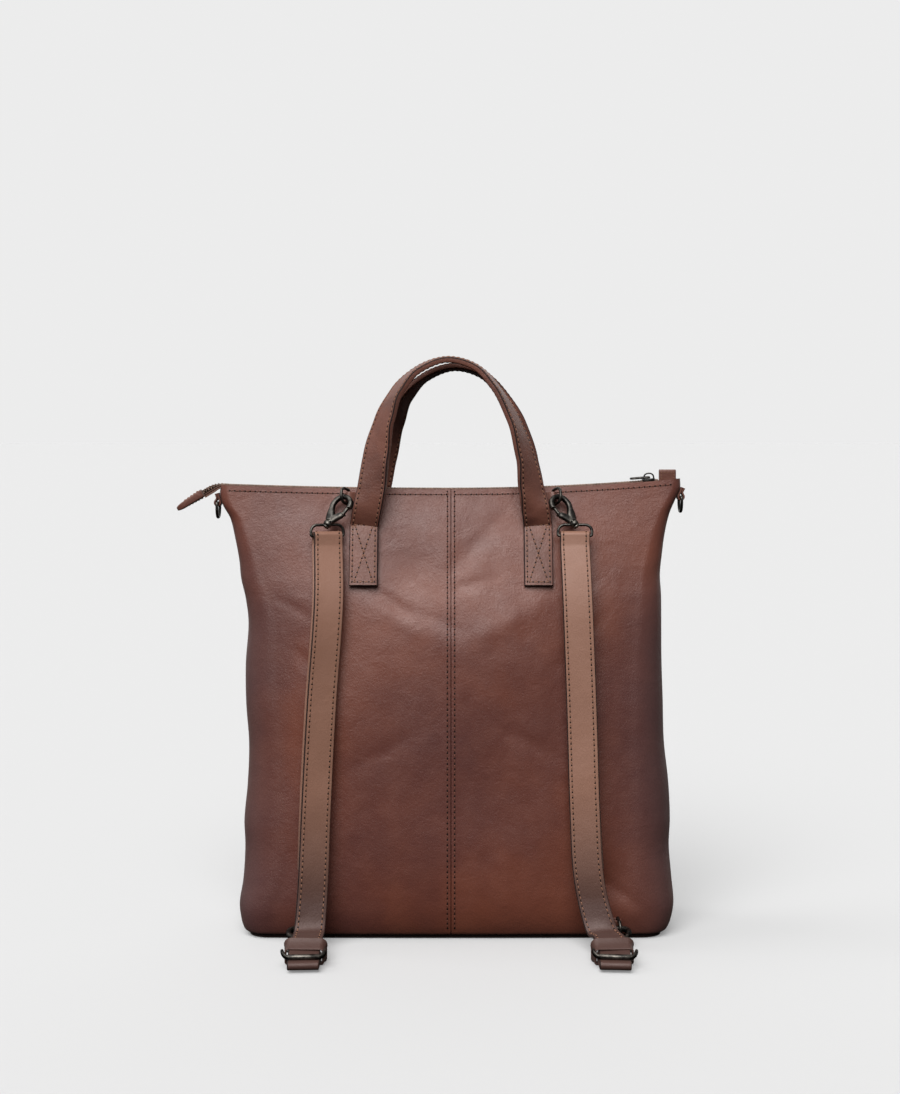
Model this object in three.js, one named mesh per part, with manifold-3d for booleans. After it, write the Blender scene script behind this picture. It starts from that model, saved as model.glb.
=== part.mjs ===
// A leather tote that turns into a backpack: a hollow sewn bag with a zipped top, two carry handles, and two
// shoulder straps that snap onto D-rings at the top and at the base of its back.
// Millimetres, +Z up, the floor at z = 0. The origin is the middle of the flat base. The back, with its straps, faces -Y.
import * as THREE from "three";
import { mergeVertices } from "three/addons/utils/BufferGeometryUtils.js";
import Module from "manifold-3d";

const wasm = await Module();
wasm.setup();

// Driving sizes of the bag
const BAG_HEIGHT = 360; // floor to the top edge, at the middle
const HALF_WIDTH = 191; // of the top edge
const HALF_DEPTH = 53; // of the base, at its corners
const CROWN = 13; // how far the middle of a face swells past its corners
const CORNER_RADIUS = 34; // of the upright corners, low down
const LEATHER = 2; // wall of the bag
const SEAM_GAP = 0.4; // between two panels at a seam
const CLEARANCE = 0.3; // between two pieces that touch on the real bag
const LEFT_RISE = 3.5; // the top edge is higher at its ends
const RIGHT_RISE = 9;

// Driving sizes of the zip
const ZIP_TAPE_HALF_WIDTH = 5;
const ZIP_TAPE_THICKNESS = 1.2;
const ZIP_TAPE_SINK = 2.6; // of the tape below the top edge
const TEETH_HALF_WIDTH = 2.6;
const TEETH_THICKNESS = 2;
const TAIL_LENGTH = 14; // of tape past the left end of the bag
const TAIL_DROP = 6;
const END_COVER_LENGTH = 25;
const END_COVER_THICKNESS = 6.4;
const END_TAB_LENGTH = 14;
const END_TAB_HEIGHT = 10;
const END_TAB_THICKNESS = 5;
const SLIDER_LENGTH = 11;
const SLIDER_WALL = 1.5;
const PULL_LENGTH = 15;
const PULL_WIDTH = 8;
const PULL_WIRE_RADIUS = 0.9;

// Driving sizes of the handles
const HANDLE_WIDTH = 23.5;
const HANDLE_THICKNESS = 4.4;
const HANDLE_SPREAD = 71; // from the middle of the bag to the middle of a sewn end
const HANDLE_TAB_LENGTH = 48; // of the sewn end
const HANDLE_TAB_DROP = 30; // of the sewn end, below the top edge
const HANDLE_RISE = 137; // of the arch above the sewn ends
const HANDLE_TAB_TOP = BAG_HEIGHT - HANDLE_TAB_DROP;
const FAR_HANDLE_SHIFT = 6; // the front handle leans this much to the right
const FAR_HANDLE_DROP = 5;

// Driving sizes of the rings and hooks
const WIRE_RADIUS = 1.2;
const D_RING_INSIDE = 10; // length of the straight bar, inside
const D_RING_DEPTH = 12; // from the bar to the far side of the arch, on the wire's centre line
const SIDE_RING_INSIDE = 17;
const RING_LOOP_LEATHER = 1.5;
const RING_LOOP_LENGTH = 13;
const STRAP_RING_ACROSS = 84; // from the middle of the bag to the bar of an upper D-ring
const STRAP_RING_DROP = 7.5; // of its bar below the top edge
const BASE_RING_OUTWARD = 9; // from the tip of a strap to the D-ring at the base
const BASE_RING_HEIGHT = 15;
const HOOK_LENGTH = 25.5;
const HOOK_HALF_WIDTH = 7.6;
const HOOK_THICKNESS = 4.6;
const HOOK_WALL = 2.8;
const HOOK_NECK_HALF_WIDTH = 3.4;
const GATE_THICKNESS = 2.6;
const GATE_WIDTH = 2.6;
const PIVOT_RADIUS = 0.6;
const STEM_RADIUS = 1.7;
const STEM_HEAD_RADIUS = 2.9;
const BOSS_RADIUS = 3.5;
const BOSS_LENGTH = 4.4;
const SWIVEL_RING_HEIGHT = 9; // on the wire's centre line

// Driving sizes of the shoulder straps
const STRAP_WIDTH = 24;
const STRAP_THICKNESS = 2.2;
const STRAP_REACH = 88; // from the back of the bag to the tip of a strap on the floor
const STRAP_PLY_GAP = 3.4; // between the two plies of a strap, half way up
const BUCKLE_INSIDE = 30;
const BUCKLE_DEPTH = 13; // between the middles of its two bars
const BUCKLE_CORNER = 4.2;
const BUCKLE_WIRE_RADIUS = 1.3;
const ROLLER_RADIUS = 2;
const KEEPER_WIDTH = 9;
const KEEPER_LEATHER = 1.6;

// Upright sections of the bag. up: share of the height; left, right: shares of HALF_WIDTH; deep: share of HALF_DEPTH;
// crown: share of CROWN; round: share of CORNER_RADIUS.
const SECTIONS = [
  { up: 0, left: 0.86, right: 0.89, deep: 0.83, crown: 0.08, round: 0.88 },
  { up: 0.012, left: 0.885, right: 0.92, deep: 0.905, crown: 0.08, round: 0.94 },
  { up: 0.035, left: 0.905, right: 0.948, deep: 0.96, crown: 0.15, round: 1 },
  { up: 0.07, left: 0.913, right: 0.961, deep: 1, crown: 0.23, round: 1 },
  { up: 0.12, left: 0.895, right: 0.95, deep: 1, crown: 0.38, round: 1 },
  { up: 0.19, left: 0.882, right: 0.934, deep: 0.96, crown: 0.62, round: 1 },
  { up: 0.25, left: 0.887, right: 0.94, deep: 0.925, crown: 0.77, round: 1 },
  { up: 0.33, left: 0.874, right: 0.934, deep: 0.87, crown: 0.92, round: 0.97 },
  { up: 0.42, left: 0.869, right: 0.916, deep: 0.81, crown: 1, round: 0.91 },
  { up: 0.51, left: 0.882, right: 0.912, deep: 0.755, crown: 1, round: 0.85 },
  { up: 0.6, left: 0.885, right: 0.908, deep: 0.68, crown: 1, round: 0.79 },
  { up: 0.69, left: 0.874, right: 0.908, deep: 0.605, crown: 0.92, round: 0.71 },
  { up: 0.745, left: 0.887, right: 0.908, deep: 0.54, crown: 0.85, round: 0.65 },
  { up: 0.79, left: 0.908, right: 0.904, deep: 0.47, crown: 0.73, round: 0.59 },
  { up: 0.83, left: 0.916, right: 0.912, deep: 0.405, crown: 0.62, round: 0.5 },
  { up: 0.88, left: 0.935, right: 0.926, deep: 0.33, crown: 0.46, round: 0.43 },
  { up: 0.925, left: 0.957, right: 0.948, deep: 0.255, crown: 0.31, round: 0.35 },
  { up: 0.955, left: 0.99, right: 0.974, deep: 0.208, crown: 0.19, round: 0.29 },
  { up: 0.98, left: 1.003, right: 0.995, deep: 0.174, crown: 0.08, round: 0.26 },
  { up: 1, left: 1, right: 0.995, deep: 0.151, crown: 0, round: 0.23 },
];

// Soft hollows and swellings of the back. x: share of HALF_WIDTH; up: share of BAG_HEIGHT; wide, tall: their reach, as
// shares of the same; push: share of CROWN, outward if positive.
const DENTS = [
  { x: -0.18, up: 0.8, wide: 0.16, tall: 0.09, push: -0.16 },
  { x: 0.2, up: 0.62, wide: 0.2, tall: 0.1, push: 0.14 },
  { x: -0.5, up: 0.52, wide: 0.16, tall: 0.14, push: 0.12 },
  { x: 0.72, up: 0.13, wide: 0.12, tall: 0.045, push: -0.22 },
  { x: -0.74, up: 0.16, wide: 0.1, tall: 0.06, push: -0.18 },
  { x: 0.1, up: 0.3, wide: 0.26, tall: 0.12, push: -0.14 },
];

// The arch of a handle. across: share of HANDLE_SPREAD; rise: share of HANDLE_RISE; lean: how far it stands off the
// middle of the bag, as a share of HALF_DEPTH; turn: degrees from facing outward to facing up.
const HANDLE_ARCH = [
  { across: -0.965, rise: 0.1, lean: 0.475, turn: 3 },
  { across: -0.915, rise: 0.22, lean: 0.495, turn: 12 },
  { across: -0.855, rise: 0.43, lean: 0.47, turn: 28 },
  { across: -0.765, rise: 0.64, lean: 0.4, turn: 52 },
  { across: -0.62, rise: 0.81, lean: 0.34, turn: 70 },
  { across: -0.39, rise: 0.935, lean: 0.29, turn: 82 },
  { across: -0.05, rise: 1, lean: 0.27, turn: 86 },
  { across: 0.28, rise: 0.955, lean: 0.29, turn: 85 },
  { across: 0.51, rise: 0.835, lean: 0.33, turn: 80 },
  { across: 0.72, rise: 0.64, lean: 0.39, turn: 70 },
  { across: 0.855, rise: 0.42, lean: 0.45, turn: 55 },
  { across: 0.925, rise: 0.22, lean: 0.485, turn: 32 },
  { across: 0.975, rise: 0.09, lean: 0.475, turn: 8 },
];

// Where each strap runs. up: share of the height of its swivel ring; out: share of STRAP_REACH, off the bag's back;
// left, right: shares of HALF_WIDTH; turnLeft, turnRight: degrees about the upright, towards the bag's right.
const STRAP_FALL = [
  { up: 0.84, out: 0.17, left: -0.518, right: 0.532, turnLeft: 18, turnRight: -6 },
  { up: 0.58, out: 0.145, left: -0.545, right: 0.545, turnLeft: 19, turnRight: -7 },
  { up: 0.32, out: 0.165, left: -0.565, right: 0.556, turnLeft: 18, turnRight: -8 },
  { up: 0.19, out: 0.205, left: -0.57, right: 0.567, turnLeft: 13, turnRight: -10 },
  { up: 0.11, out: 0.27, left: -0.573, right: 0.588, turnLeft: 9, turnRight: -9 },
  { up: 0.055, out: 0.375, left: -0.579, right: 0.618, turnLeft: 6, turnRight: -7 },
  { up: 0.041, out: 0.52, left: -0.582, right: 0.64, turnLeft: 4, turnRight: -5 },
];
const STRAP_TIP = { left: -0.583, right: 0.648 };
const STRAP_START = { left: { turn: 21 }, right: { turn: -5 } };

const UP = new THREE.Vector3(0, 0, 1);
const RIGHT = new THREE.Vector3(1, 0, 0);
const BACKWARD = new THREE.Vector3(0, -1, 0);

const LEATHER_BROWN = new THREE.MeshStandardMaterial({ color: 0x6b4136, roughness: 0.5, metalness: 0 });
const STRAP_BROWN = new THREE.MeshStandardMaterial({ color: 0x7a5446, roughness: 0.55, metalness: 0 });
const ZIP_BROWN = new THREE.MeshStandardMaterial({ color: 0x5d4a44, roughness: 0.8, metalness: 0 });
const GUNMETAL = new THREE.MeshStandardMaterial({ color: 0x4b4844, roughness: 0.35, metalness: 1 });

const part = new THREE.Group();

// Vectors and frames

function vector(x, y, z) {
  return new THREE.Vector3(x, y, z);
}

function mix(a, b, share) {
  return a + (b - a) * share;
}

function unit(v) {
  return v.clone().normalize();
}

// v without its share along axis, at length 1
function squareTo(v, axis) {
  return v.clone().addScaledVector(axis, -v.dot(axis)).normalize();
}

// A point of a local frame { at, across, out, along }
function inFrame(frame, across, out, along) {
  return frame.at
    .clone()
    .addScaledVector(frame.across, across)
    .addScaledVector(frame.out, out)
    .addScaledVector(frame.along, along);
}

// Solids

function signedVolume(positions, faces) {
  const [a, b, c] = [vector(), vector(), vector()];
  let sum = 0;
  for (let i = 0; i < faces.length; i += 3) {
    a.fromArray(positions, 3 * faces[i]);
    b.fromArray(positions, 3 * faces[i + 1]);
    c.fromArray(positions, 3 * faces[i + 2]);
    sum += a.dot(b.cross(c));
  }
  return sum / 6;
}

function geometryOf(positions, faces) {
  if (signedVolume(positions, faces) < 0) {
    faces = faces.slice().reverse();
  }
  const geometry = new THREE.BufferGeometry();
  geometry.setAttribute("position", new THREE.Float32BufferAttribute(positions, 3));
  geometry.setIndex(faces);
  return geometry;
}

// Joins rings of points that all have the same count. A loop joins its last ring to its first, and anything else gets
// flat ends.
function skin(rings, loop) {
  const count = rings[0].length;
  const positions = rings.flat().flatMap((p) => p.toArray());
  const faces = [];
  const steps = loop ? rings.length : rings.length - 1;
  for (let i = 0; i < steps; i++) {
    const next = (i + 1) % rings.length;
    for (let j = 0; j < count; j++) {
      const k = (j + 1) % count;
      const [a, b, c, d] = [i * count + j, i * count + k, next * count + k, next * count + j];
      faces.push(a, b, c, a, c, d);
    }
  }
  if (!loop) {
    const last = (rings.length - 1) * count;
    for (let j = 1; j < count - 1; j++) {
      faces.push(0, j + 1, j, last, last + j, last + j + 1);
    }
  }
  return geometryOf(positions, faces);
}

// Sweeps a convex outline of [across, out] pairs through frames.
function sweep(frames, outline, loop = false) {
  const rings = frames.map((f) => outline.map(([a, o]) => inFrame(f, a, o, 0)));
  return skin(rings, loop);
}

function rectangle(width, thickness) {
  const [w, t] = [width / 2, thickness / 2];
  return [[-w, -t], [w, -t], [w, t], [-w, t]];
}

function circle(radius, sides) {
  return Array.from({ length: sides }, (_, i) => {
    const angle = (2 * Math.PI * i) / sides;
    return [radius * Math.cos(angle), radius * Math.sin(angle)];
  });
}

function solidOf(geometry) {
  const bare = (geometry.index ? geometry.toNonIndexed() : geometry).clone();
  bare.deleteAttribute("normal");
  bare.deleteAttribute("uv");
  const merged = mergeVertices(bare, 1e-4);
  return new wasm.Manifold(
    new wasm.Mesh({
      numProp: 3,
      vertProperties: merged.attributes.position.array,
      triVerts: new Uint32Array(merged.index.array),
    }),
  );
}

function geometryFrom(solid) {
  const mesh = solid.getMesh();
  const positions = [];
  for (let i = 0; i < mesh.numVert; i++) {
    positions.push(...mesh.vertProperties.slice(i * mesh.numProp, i * mesh.numProp + 3));
  }
  return geometryOf(positions, [...mesh.triVerts]);
}

function boxBetween(low, high) {
  const size = high.clone().sub(low);
  const middle = high.clone().add(low).multiplyScalar(0.5);
  return new THREE.BoxGeometry(size.x, size.y, size.z).translate(middle.x, middle.y, middle.z);
}

// Turns a geometry made with x = across, y = out, z = along into a frame.
function placed(geometry, frame) {
  const matrix = new THREE.Matrix4().makeBasis(frame.across, frame.out, frame.along).setPosition(frame.at);
  const made = geometry.clone().applyMatrix4(matrix);
  if (matrix.determinant() < 0) {
    throw new Error("a frame is left-handed");
  }
  return made;
}

function add(name, geometry, material) {
  const mesh = new THREE.Mesh(geometry, material);
  mesh.name = name;
  part.add(mesh);
  return mesh;
}

// Frames along a path. faceOf gives the way that a station's outer face looks, from its share of the path.
function framesAlong(points, faceOf, loop = false) {
  const last = points.length - 1;
  return points.map((at, i) => {
    const before = loop ? points[(i + last) % points.length] : points[Math.max(0, i - 1)];
    const after = loop ? points[(i + 1) % points.length] : points[Math.min(last, i + 1)];
    const along = after.clone().sub(before).normalize();
    const out = squareTo(faceOf(i / last, i), along);
    return { at, along, out, across: out.clone().cross(along) };
  });
}

function smoothed(points, count) {
  return new THREE.CatmullRomCurve3(points, false, "centripetal").getSpacedPoints(count);
}

// A closed path in a plane: a rectangle with one radius at its foot and another at its head.
function loopPath(frame, width, height, footRadius, headRadius, steps) {
  const half = width / 2;
  const foot = Math.min(footRadius, half, height / 2);
  const head = Math.min(headRadius, half - 0.01, height - foot - 0.01);
  const corners = [
    { x: half - foot, y: foot, r: foot, from: -90 },
    { x: half - head, y: height - head, r: head, from: 0 },
    { x: head - half, y: height - head, r: head, from: 90 },
    { x: foot - half, y: foot, r: foot, from: 180 },
  ];
  return corners.flatMap(({ x, y, r, from }) =>
    Array.from({ length: steps + 1 }, (_, i) => {
      const angle = THREE.MathUtils.degToRad(from + (90 * i) / steps);
      return inFrame(frame, x + r * Math.cos(angle), 0, y + r * Math.sin(angle));
    }),
  );
}

function wireLoop(frame, width, height, footRadius, headRadius, radius, steps = 2, sides = 6) {
  const path = loopPath(frame, width, height, footRadius, headRadius, steps);
  return sweep(framesAlong(path, () => frame.out, true), circle(radius, sides), true);
}

// The bag

function topHeight(x) {
  const rise = x < 0 ? LEFT_RISE : RIGHT_RISE;
  return BAG_HEIGHT + rise * (x / HALF_WIDTH) ** 2;
}

// The bag's section at a share of the height, shrunk by inset
function sectionAt(up, inset = 0) {
  const next = Math.max(1, SECTIONS.findIndex((s) => s.up >= Math.min(up, 1)));
  const [low, high] = [SECTIONS[next - 1], SECTIONS[next]];
  const share = (up - low.up) / (high.up - low.up);
  const row = (column) => mix(low[column], high[column], share);
  const deep = HALF_DEPTH * row("deep");
  return {
    left: HALF_WIDTH * row("left") - inset,
    right: HALF_WIDTH * row("right") - inset,
    deep: deep - inset,
    crown: CROWN * row("crown"),
    radius: Math.min(CORNER_RADIUS * row("round"), deep - 0.1) - inset,
  };
}

function dentAt(x, up) {
  return DENTS.reduce((sum, d) => {
    const far = ((x / HALF_WIDTH - d.x) / d.wide) ** 2 + ((up - d.up) / d.tall) ** 2;
    return sum + CROWN * d.push * Math.exp(-far);
  }, 0);
}

const FACE_STEPS = 12;
const CORNER_STEPS = 4;

// One closed ring of the bag's wall, counter-clockwise from above, starting at the left end of the back
function wallRing(up, inset) {
  const s = sectionAt(up, inset);
  const ring = [];
  const put = (x, y) => ring.push(vector(x, y, up * topHeight(x)));
  const face = (sign, dents) => {
    for (let i = 0; i <= FACE_STEPS; i++) {
      const share = Math.sin((Math.PI / 2) * ((2 * i) / FACE_STEPS - 1));
      const x = -sign * share * ((-sign * share < 0 ? s.left : s.right) - s.radius);
      const swell = s.crown * (1 - share ** 2) + (dents ? dentAt(x, up) * (1 - share ** 8) : 0);
      put(x, sign * (s.deep + swell));
    }
  };
  const corner = (x, y, from) => {
    for (let i = 1; i < CORNER_STEPS; i++) {
      const angle = THREE.MathUtils.degToRad(from + (90 * i) / CORNER_STEPS);
      put(x + s.radius * Math.cos(angle), y + s.radius * Math.sin(angle));
    }
  };
  const side = s.deep - s.radius;
  face(-1, true);
  corner(s.right - s.radius, -side, -90);
  put(s.right, -side);
  put(s.right, side);
  corner(s.right - s.radius, side, 0);
  face(1, false);
  corner(s.radius - s.left, side, 90);
  put(-s.left, side);
  put(-s.left, -side);
  corner(s.radius - s.left, -side, 180);
  return ring;
}

function wallSolid() {
  const outer = SECTIONS.map((s) => wallRing(s.up, 0));
  const inner = SECTIONS.map((s) => wallRing(s.up, LEATHER)).reverse();
  return solidOf(skin([...outer, ...inner], true));
}

// How far the bag's face stands off its middle at x and height z
function faceDepth(x, z, dented) {
  const up = z / topHeight(x);
  const s = sectionAt(up);
  const share = Math.min(1, Math.abs(x) / ((x < 0 ? s.left : s.right) - s.radius));
  return s.deep + s.crown * (1 - share ** 2) + (dented ? dentAt(x, up) * (1 - share ** 8) : 0);
}

// The outer face of the back at x and height z
function backPoint(x, z) {
  return vector(x, -faceDepth(x, z, true), z);
}

// Frame of the back's outer face: out leaves the leather, along climbs it
function backFrame(x, z, step = 3) {
  const at = backPoint(x, z);
  const along = backPoint(x, z + step).sub(backPoint(x, z - step)).normalize();
  const sideways = backPoint(x + step, z).sub(backPoint(x - step, z)).normalize();
  const out = sideways.clone().cross(along).normalize();
  return { at, along, out, across: out.clone().cross(along) };
}

function zipHeight(x) {
  return topHeight(x) - ZIP_TAPE_SINK;
}

// Leaves room for the zip where it runs out over the left end of the top edge
function zipNotch() {
  const [end, room] = [-HALF_WIDTH, 2 * CLEARANCE];
  const reach = ZIP_TAPE_HALF_WIDTH + room;
  const low = zipHeight(end) - ZIP_TAPE_THICKNESS / 2 - room;
  return solidOf(
    boxBetween(vector(end - LEATHER, -reach, low), vector(end + 6 * LEATHER, reach, BAG_HEIGHT + LEFT_RISE + LEATHER)),
  );
}

function addPanels() {
  const wall = wallSolid().subtract(zipNotch());
  const [w, d, h] = [1.5 * HALF_WIDTH, 1.5 * (HALF_DEPTH + CROWN), 1.5 * BAG_HEIGHT];
  const seam = SEAM_GAP / 2;
  const cuts = {
    back_panel_left: boxBetween(vector(-w, -d, -1), vector(-seam, -seam, h)),
    back_panel_right: boxBetween(vector(seam, -d, -1), vector(w, -seam, h)),
    front_panel: boxBetween(vector(-w, seam, -1), vector(w, d, h)),
  };
  for (const [name, box] of Object.entries(cuts)) {
    add(name, geometryFrom(wall.intersect(solidOf(box))), LEATHER_BROWN);
  }
}

function addBase() {
  const rim = wallRing(0, LEATHER + SEAM_GAP);
  const foot = rim.map((p) => vector(p.x, p.y, 0));
  const head = rim.map((p) => vector(p.x, p.y, LEATHER));
  add("base_panel", skin([foot, head], false), LEATHER_BROWN);
}

// The zip

// Half of the room that the top edge leaves the tape at x
function tapeHalfWidth(x) {
  const s = sectionAt(1, LEATHER + CLEARANCE);
  const past = Math.max(0, Math.abs(x) - ((x < 0 ? s.left : s.right) - s.radius));
  const room = Math.sqrt(Math.max(0, s.radius ** 2 - past ** 2));
  return x < 0 ? ZIP_TAPE_HALF_WIDTH : Math.min(ZIP_TAPE_HALF_WIDTH, room);
}

const END_TAB_MIDDLE = sectionAt(1).right - 0.75 * END_TAB_LENGTH;
const TEETH_END = END_TAB_MIDDLE - END_TAB_LENGTH / 2 - CLEARANCE;

function zipStations(from, to, count) {
  return Array.from({ length: count + 1 }, (_, i) => mix(from, to, i / count));
}

// Where the zip's middle line runs, from its free left end to the right end of the bag
function zipPath(to) {
  const left = -HALF_WIDTH;
  const tail = [
    vector(left - TAIL_LENGTH, 0, zipHeight(left) - TAIL_DROP),
    vector(left - TAIL_LENGTH / 2, 0, zipHeight(left) - TAIL_DROP / 3),
    vector(left, 0, zipHeight(left)),
  ];
  const inside = zipStations(left + 4 * LEATHER, to, 12).map((x) => vector(x, 0, zipHeight(x)));
  return [...tail, ...inside];
}

function zipFrames(to, lift) {
  return framesAlong(zipPath(to), () => UP).map((f) => ({ ...f, at: inFrame(f, 0, lift, 0) }));
}

function addZip() {
  const tapeEnd = sectionAt(1, LEATHER).right - 2 * LEATHER;
  const tape = zipFrames(tapeEnd, 0).map((f) => {
    const outline = rectangle(2 * tapeHalfWidth(f.at.x), ZIP_TAPE_THICKNESS);
    return outline.map(([a, o]) => inFrame(f, a, o, 0));
  });
  add("zip_tape", skin(tape, false), ZIP_BROWN);

  const lift = ZIP_TAPE_THICKNESS / 2 + CLEARANCE + TEETH_THICKNESS / 2;
  const teeth = zipFrames(TEETH_END, lift);
  add("zip_teeth", sweep(teeth, rectangle(2 * TEETH_HALF_WIDTH, TEETH_THICKNESS)), GUNMETAL);
  addEndCover();
  addEndTab();
  addSlider(lift + TEETH_THICKNESS / 2);
}

// A folded leather pocket sewn over the free end of the zip
function addEndCover() {
  const frame = zipFrames(0, ZIP_TAPE_THICKNESS)[0];
  const length = END_COVER_LENGTH;
  const width = 2 * ZIP_TAPE_HALF_WIDTH + 1;
  const shares = [
    { at: CLEARANCE, wide: 0.98, thick: 0.98 },
    { at: 0.55 * length, wide: 1, thick: 1 },
    { at: 0.85 * length, wide: 0.9, thick: 0.85 },
    { at: length, wide: 0.6, thick: 0.5 },
  ];
  const rings = shares.map(({ at, wide, thick }) =>
    rectangle(width * wide, END_COVER_THICKNESS * thick).map(([a, o]) => inFrame(frame, a, o, -at)),
  );
  add("zip_end_cover", skin(rings, false), LEATHER_BROWN);
}

// A leather tab that stands up over the zip's right end
function addEndTab() {
  const low = zipHeight(END_TAB_MIDDLE + END_TAB_LENGTH / 2) + ZIP_TAPE_THICKNESS / 2 + CLEARANCE;
  const half = Math.min(END_TAB_THICKNESS / 2, sectionAt(1, LEATHER + CLEARANCE).deep);
  const outline = new THREE.Shape();
  const [w, h, r] = [END_TAB_LENGTH / 2, END_TAB_HEIGHT, END_TAB_LENGTH / 10];
  outline.moveTo(-w, 0);
  outline.lineTo(w, 0);
  outline.lineTo(w, h - r);
  outline.absarc(w - r, h - r, r, 0, Math.PI / 2);
  outline.lineTo(r - w, h);
  outline.absarc(r - w, h - r, r, Math.PI / 2, Math.PI);
  const tab = new THREE.ExtrudeGeometry(outline, { depth: 2 * half, bevelEnabled: false, curveSegments: 3 });
  tab.rotateX(Math.PI / 2).translate(END_TAB_MIDDLE, half, low);
  add("zip_end_tab", geometryFrom(solidOf(tab)), LEATHER_BROWN);
}

function addSlider(teethTop) {
  const x = TEETH_END - SLIDER_LENGTH / 2 - 3;
  const z = zipHeight(x) + teethTop + CLEARANCE;
  const flat = unit(vector(1, 0, (zipHeight(x + 1) - zipHeight(x - 1)) / 2));
  const frame = { at: vector(x, 0, z), across: flat, out: vector(0, 1, 0), along: flat.clone().cross(vector(0, 1, 0)) };
  const [l, w, t] = [SLIDER_LENGTH / 2, TEETH_HALF_WIDTH + CLEARANCE + SLIDER_WALL, SLIDER_WALL];
  const skirt = TEETH_THICKNESS;
  const bodyBox = boxBetween(vector(-l, -w, -skirt), vector(l, w, t));
  const channel = boxBetween(
    vector(-2 * l, -w + SLIDER_WALL, -2 * skirt),
    vector(2 * l, w - SLIDER_WALL, 0),
  );
  const bridgeRise = 2 * PULL_WIRE_RADIUS + 2 * CLEARANCE;
  const bridgeHalf = 0.9;
  const bridge = boxBetween(vector(-0.6 * l, -bridgeHalf, 0), vector(0.6 * l, bridgeHalf, t + bridgeRise + t));
  const eye = boxBetween(vector(-0.6 * l + t, -2 * w, t), vector(0.6 * l - t, 2 * w, t + bridgeRise));
  const body = solidOf(bodyBox).subtract(solidOf(channel)).add(solidOf(bridge).subtract(solidOf(eye)));
  add("zip_slider", placed(geometryFrom(body), frame), GUNMETAL);

  // The pull is a wire loop through the bridge, lying back along the teeth.
  const pivot = inFrame(frame, 0.6 * l - t - PULL_WIRE_RADIUS - CLEARANCE, 0, t + PULL_WIRE_RADIUS + CLEARANCE);
  const away = frame.across.clone().negate();
  const loop = { at: pivot, across: vector(0, 1, 0), along: away, out: away.clone().cross(vector(0, 1, 0)) };
  const wire = wireLoop(loop, PULL_WIDTH, PULL_LENGTH, 1.5, 3, PULL_WIRE_RADIUS);
  add("zip_pull", wire, GUNMETAL).userData.hinge = { at: pivot, axis: vector(0, 1, 0) };
}

// The handles

// facing: -1 for the back's handle, +1 for the front's
function handleGeometry(facing, shift, drop) {
  const leg = (side) => {
    const x = side * HANDLE_SPREAD;
    const stand = HANDLE_THICKNESS / 2 + 3 * CLEARANCE;
    const depth = (z) => faceDepth(x, z, facing < 0);
    return [0, 0.25, 0.5, 0.75, 1].map((share) => {
      const z = HANDLE_TAB_TOP - HANDLE_TAB_LENGTH * (1 - share);
      const out = unit(vector(0, facing, (depth(z - 3) - depth(z + 3)) / 6));
      return { at: vector(x, facing * depth(z), z).addScaledVector(out, stand), out };
    });
  };
  const arch = HANDLE_ARCH.map((row) => {
    const sway = shift * Math.min(1, 1.6 * row.rise);
    return {
      at: vector(
        row.across * HANDLE_SPREAD + sway,
        facing * row.lean * HALF_DEPTH,
        HANDLE_TAB_TOP + row.rise * (HANDLE_RISE - drop),
      ),
      turn: row.turn,
    };
  });
  const left = leg(-1);
  const right = leg(1).reverse();
  const curve = [left.at(-1).at, ...arch.map((a) => a.at), right[0].at];
  const turns = [0, ...arch.map((a) => a.turn), 0];
  const count = 26;
  const spine = new THREE.CatmullRomCurve3(curve, false, "centripetal");
  const points = Array.from({ length: count - 1 }, (_, i) => spine.getPoint((i + 1) / count));
  const outward = vector(0, facing, 0);
  const all = [...left.map((l) => l.at), ...points, ...right.map((r) => r.at)];
  const frames = framesAlong(all, (_, i) => {
    if (i < left.length) {
      return left[i].out;
    }
    if (i >= left.length + points.length) {
      return right[i - left.length - points.length].out;
    }
    const place = ((i - left.length + 1) / count) * (curve.length - 1);
    const low = Math.min(turns.length - 2, Math.floor(place));
    const turn = THREE.MathUtils.degToRad(mix(turns[low], turns[low + 1], place - low));
    const ahead = all[i + 1].clone().sub(all[i - 1]).normalize();
    const lifted = squareTo(vector(-ahead.z, 0, ahead.x), ahead);
    return squareTo(outward, ahead).multiplyScalar(Math.cos(turn)).addScaledVector(lifted, Math.sin(turn));
  });
  return sweep(frames, rectangle(HANDLE_WIDTH, HANDLE_THICKNESS));
}

function addHandles() {
  add("handle_back", handleGeometry(-1, 0, 0), LEATHER_BROWN);
  add("handle_front", handleGeometry(1, FAR_HANDLE_SHIFT, FAR_HANDLE_DROP), LEATHER_BROWN);
}

// D-rings and the leather loops that hold them

const LOOP_STANDOFF = 1.4 * CLEARANCE;
const BAR_STANDOFF = LOOP_STANDOFF + RING_LOOP_LEATHER + CLEARANCE + WIRE_RADIUS;

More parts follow.
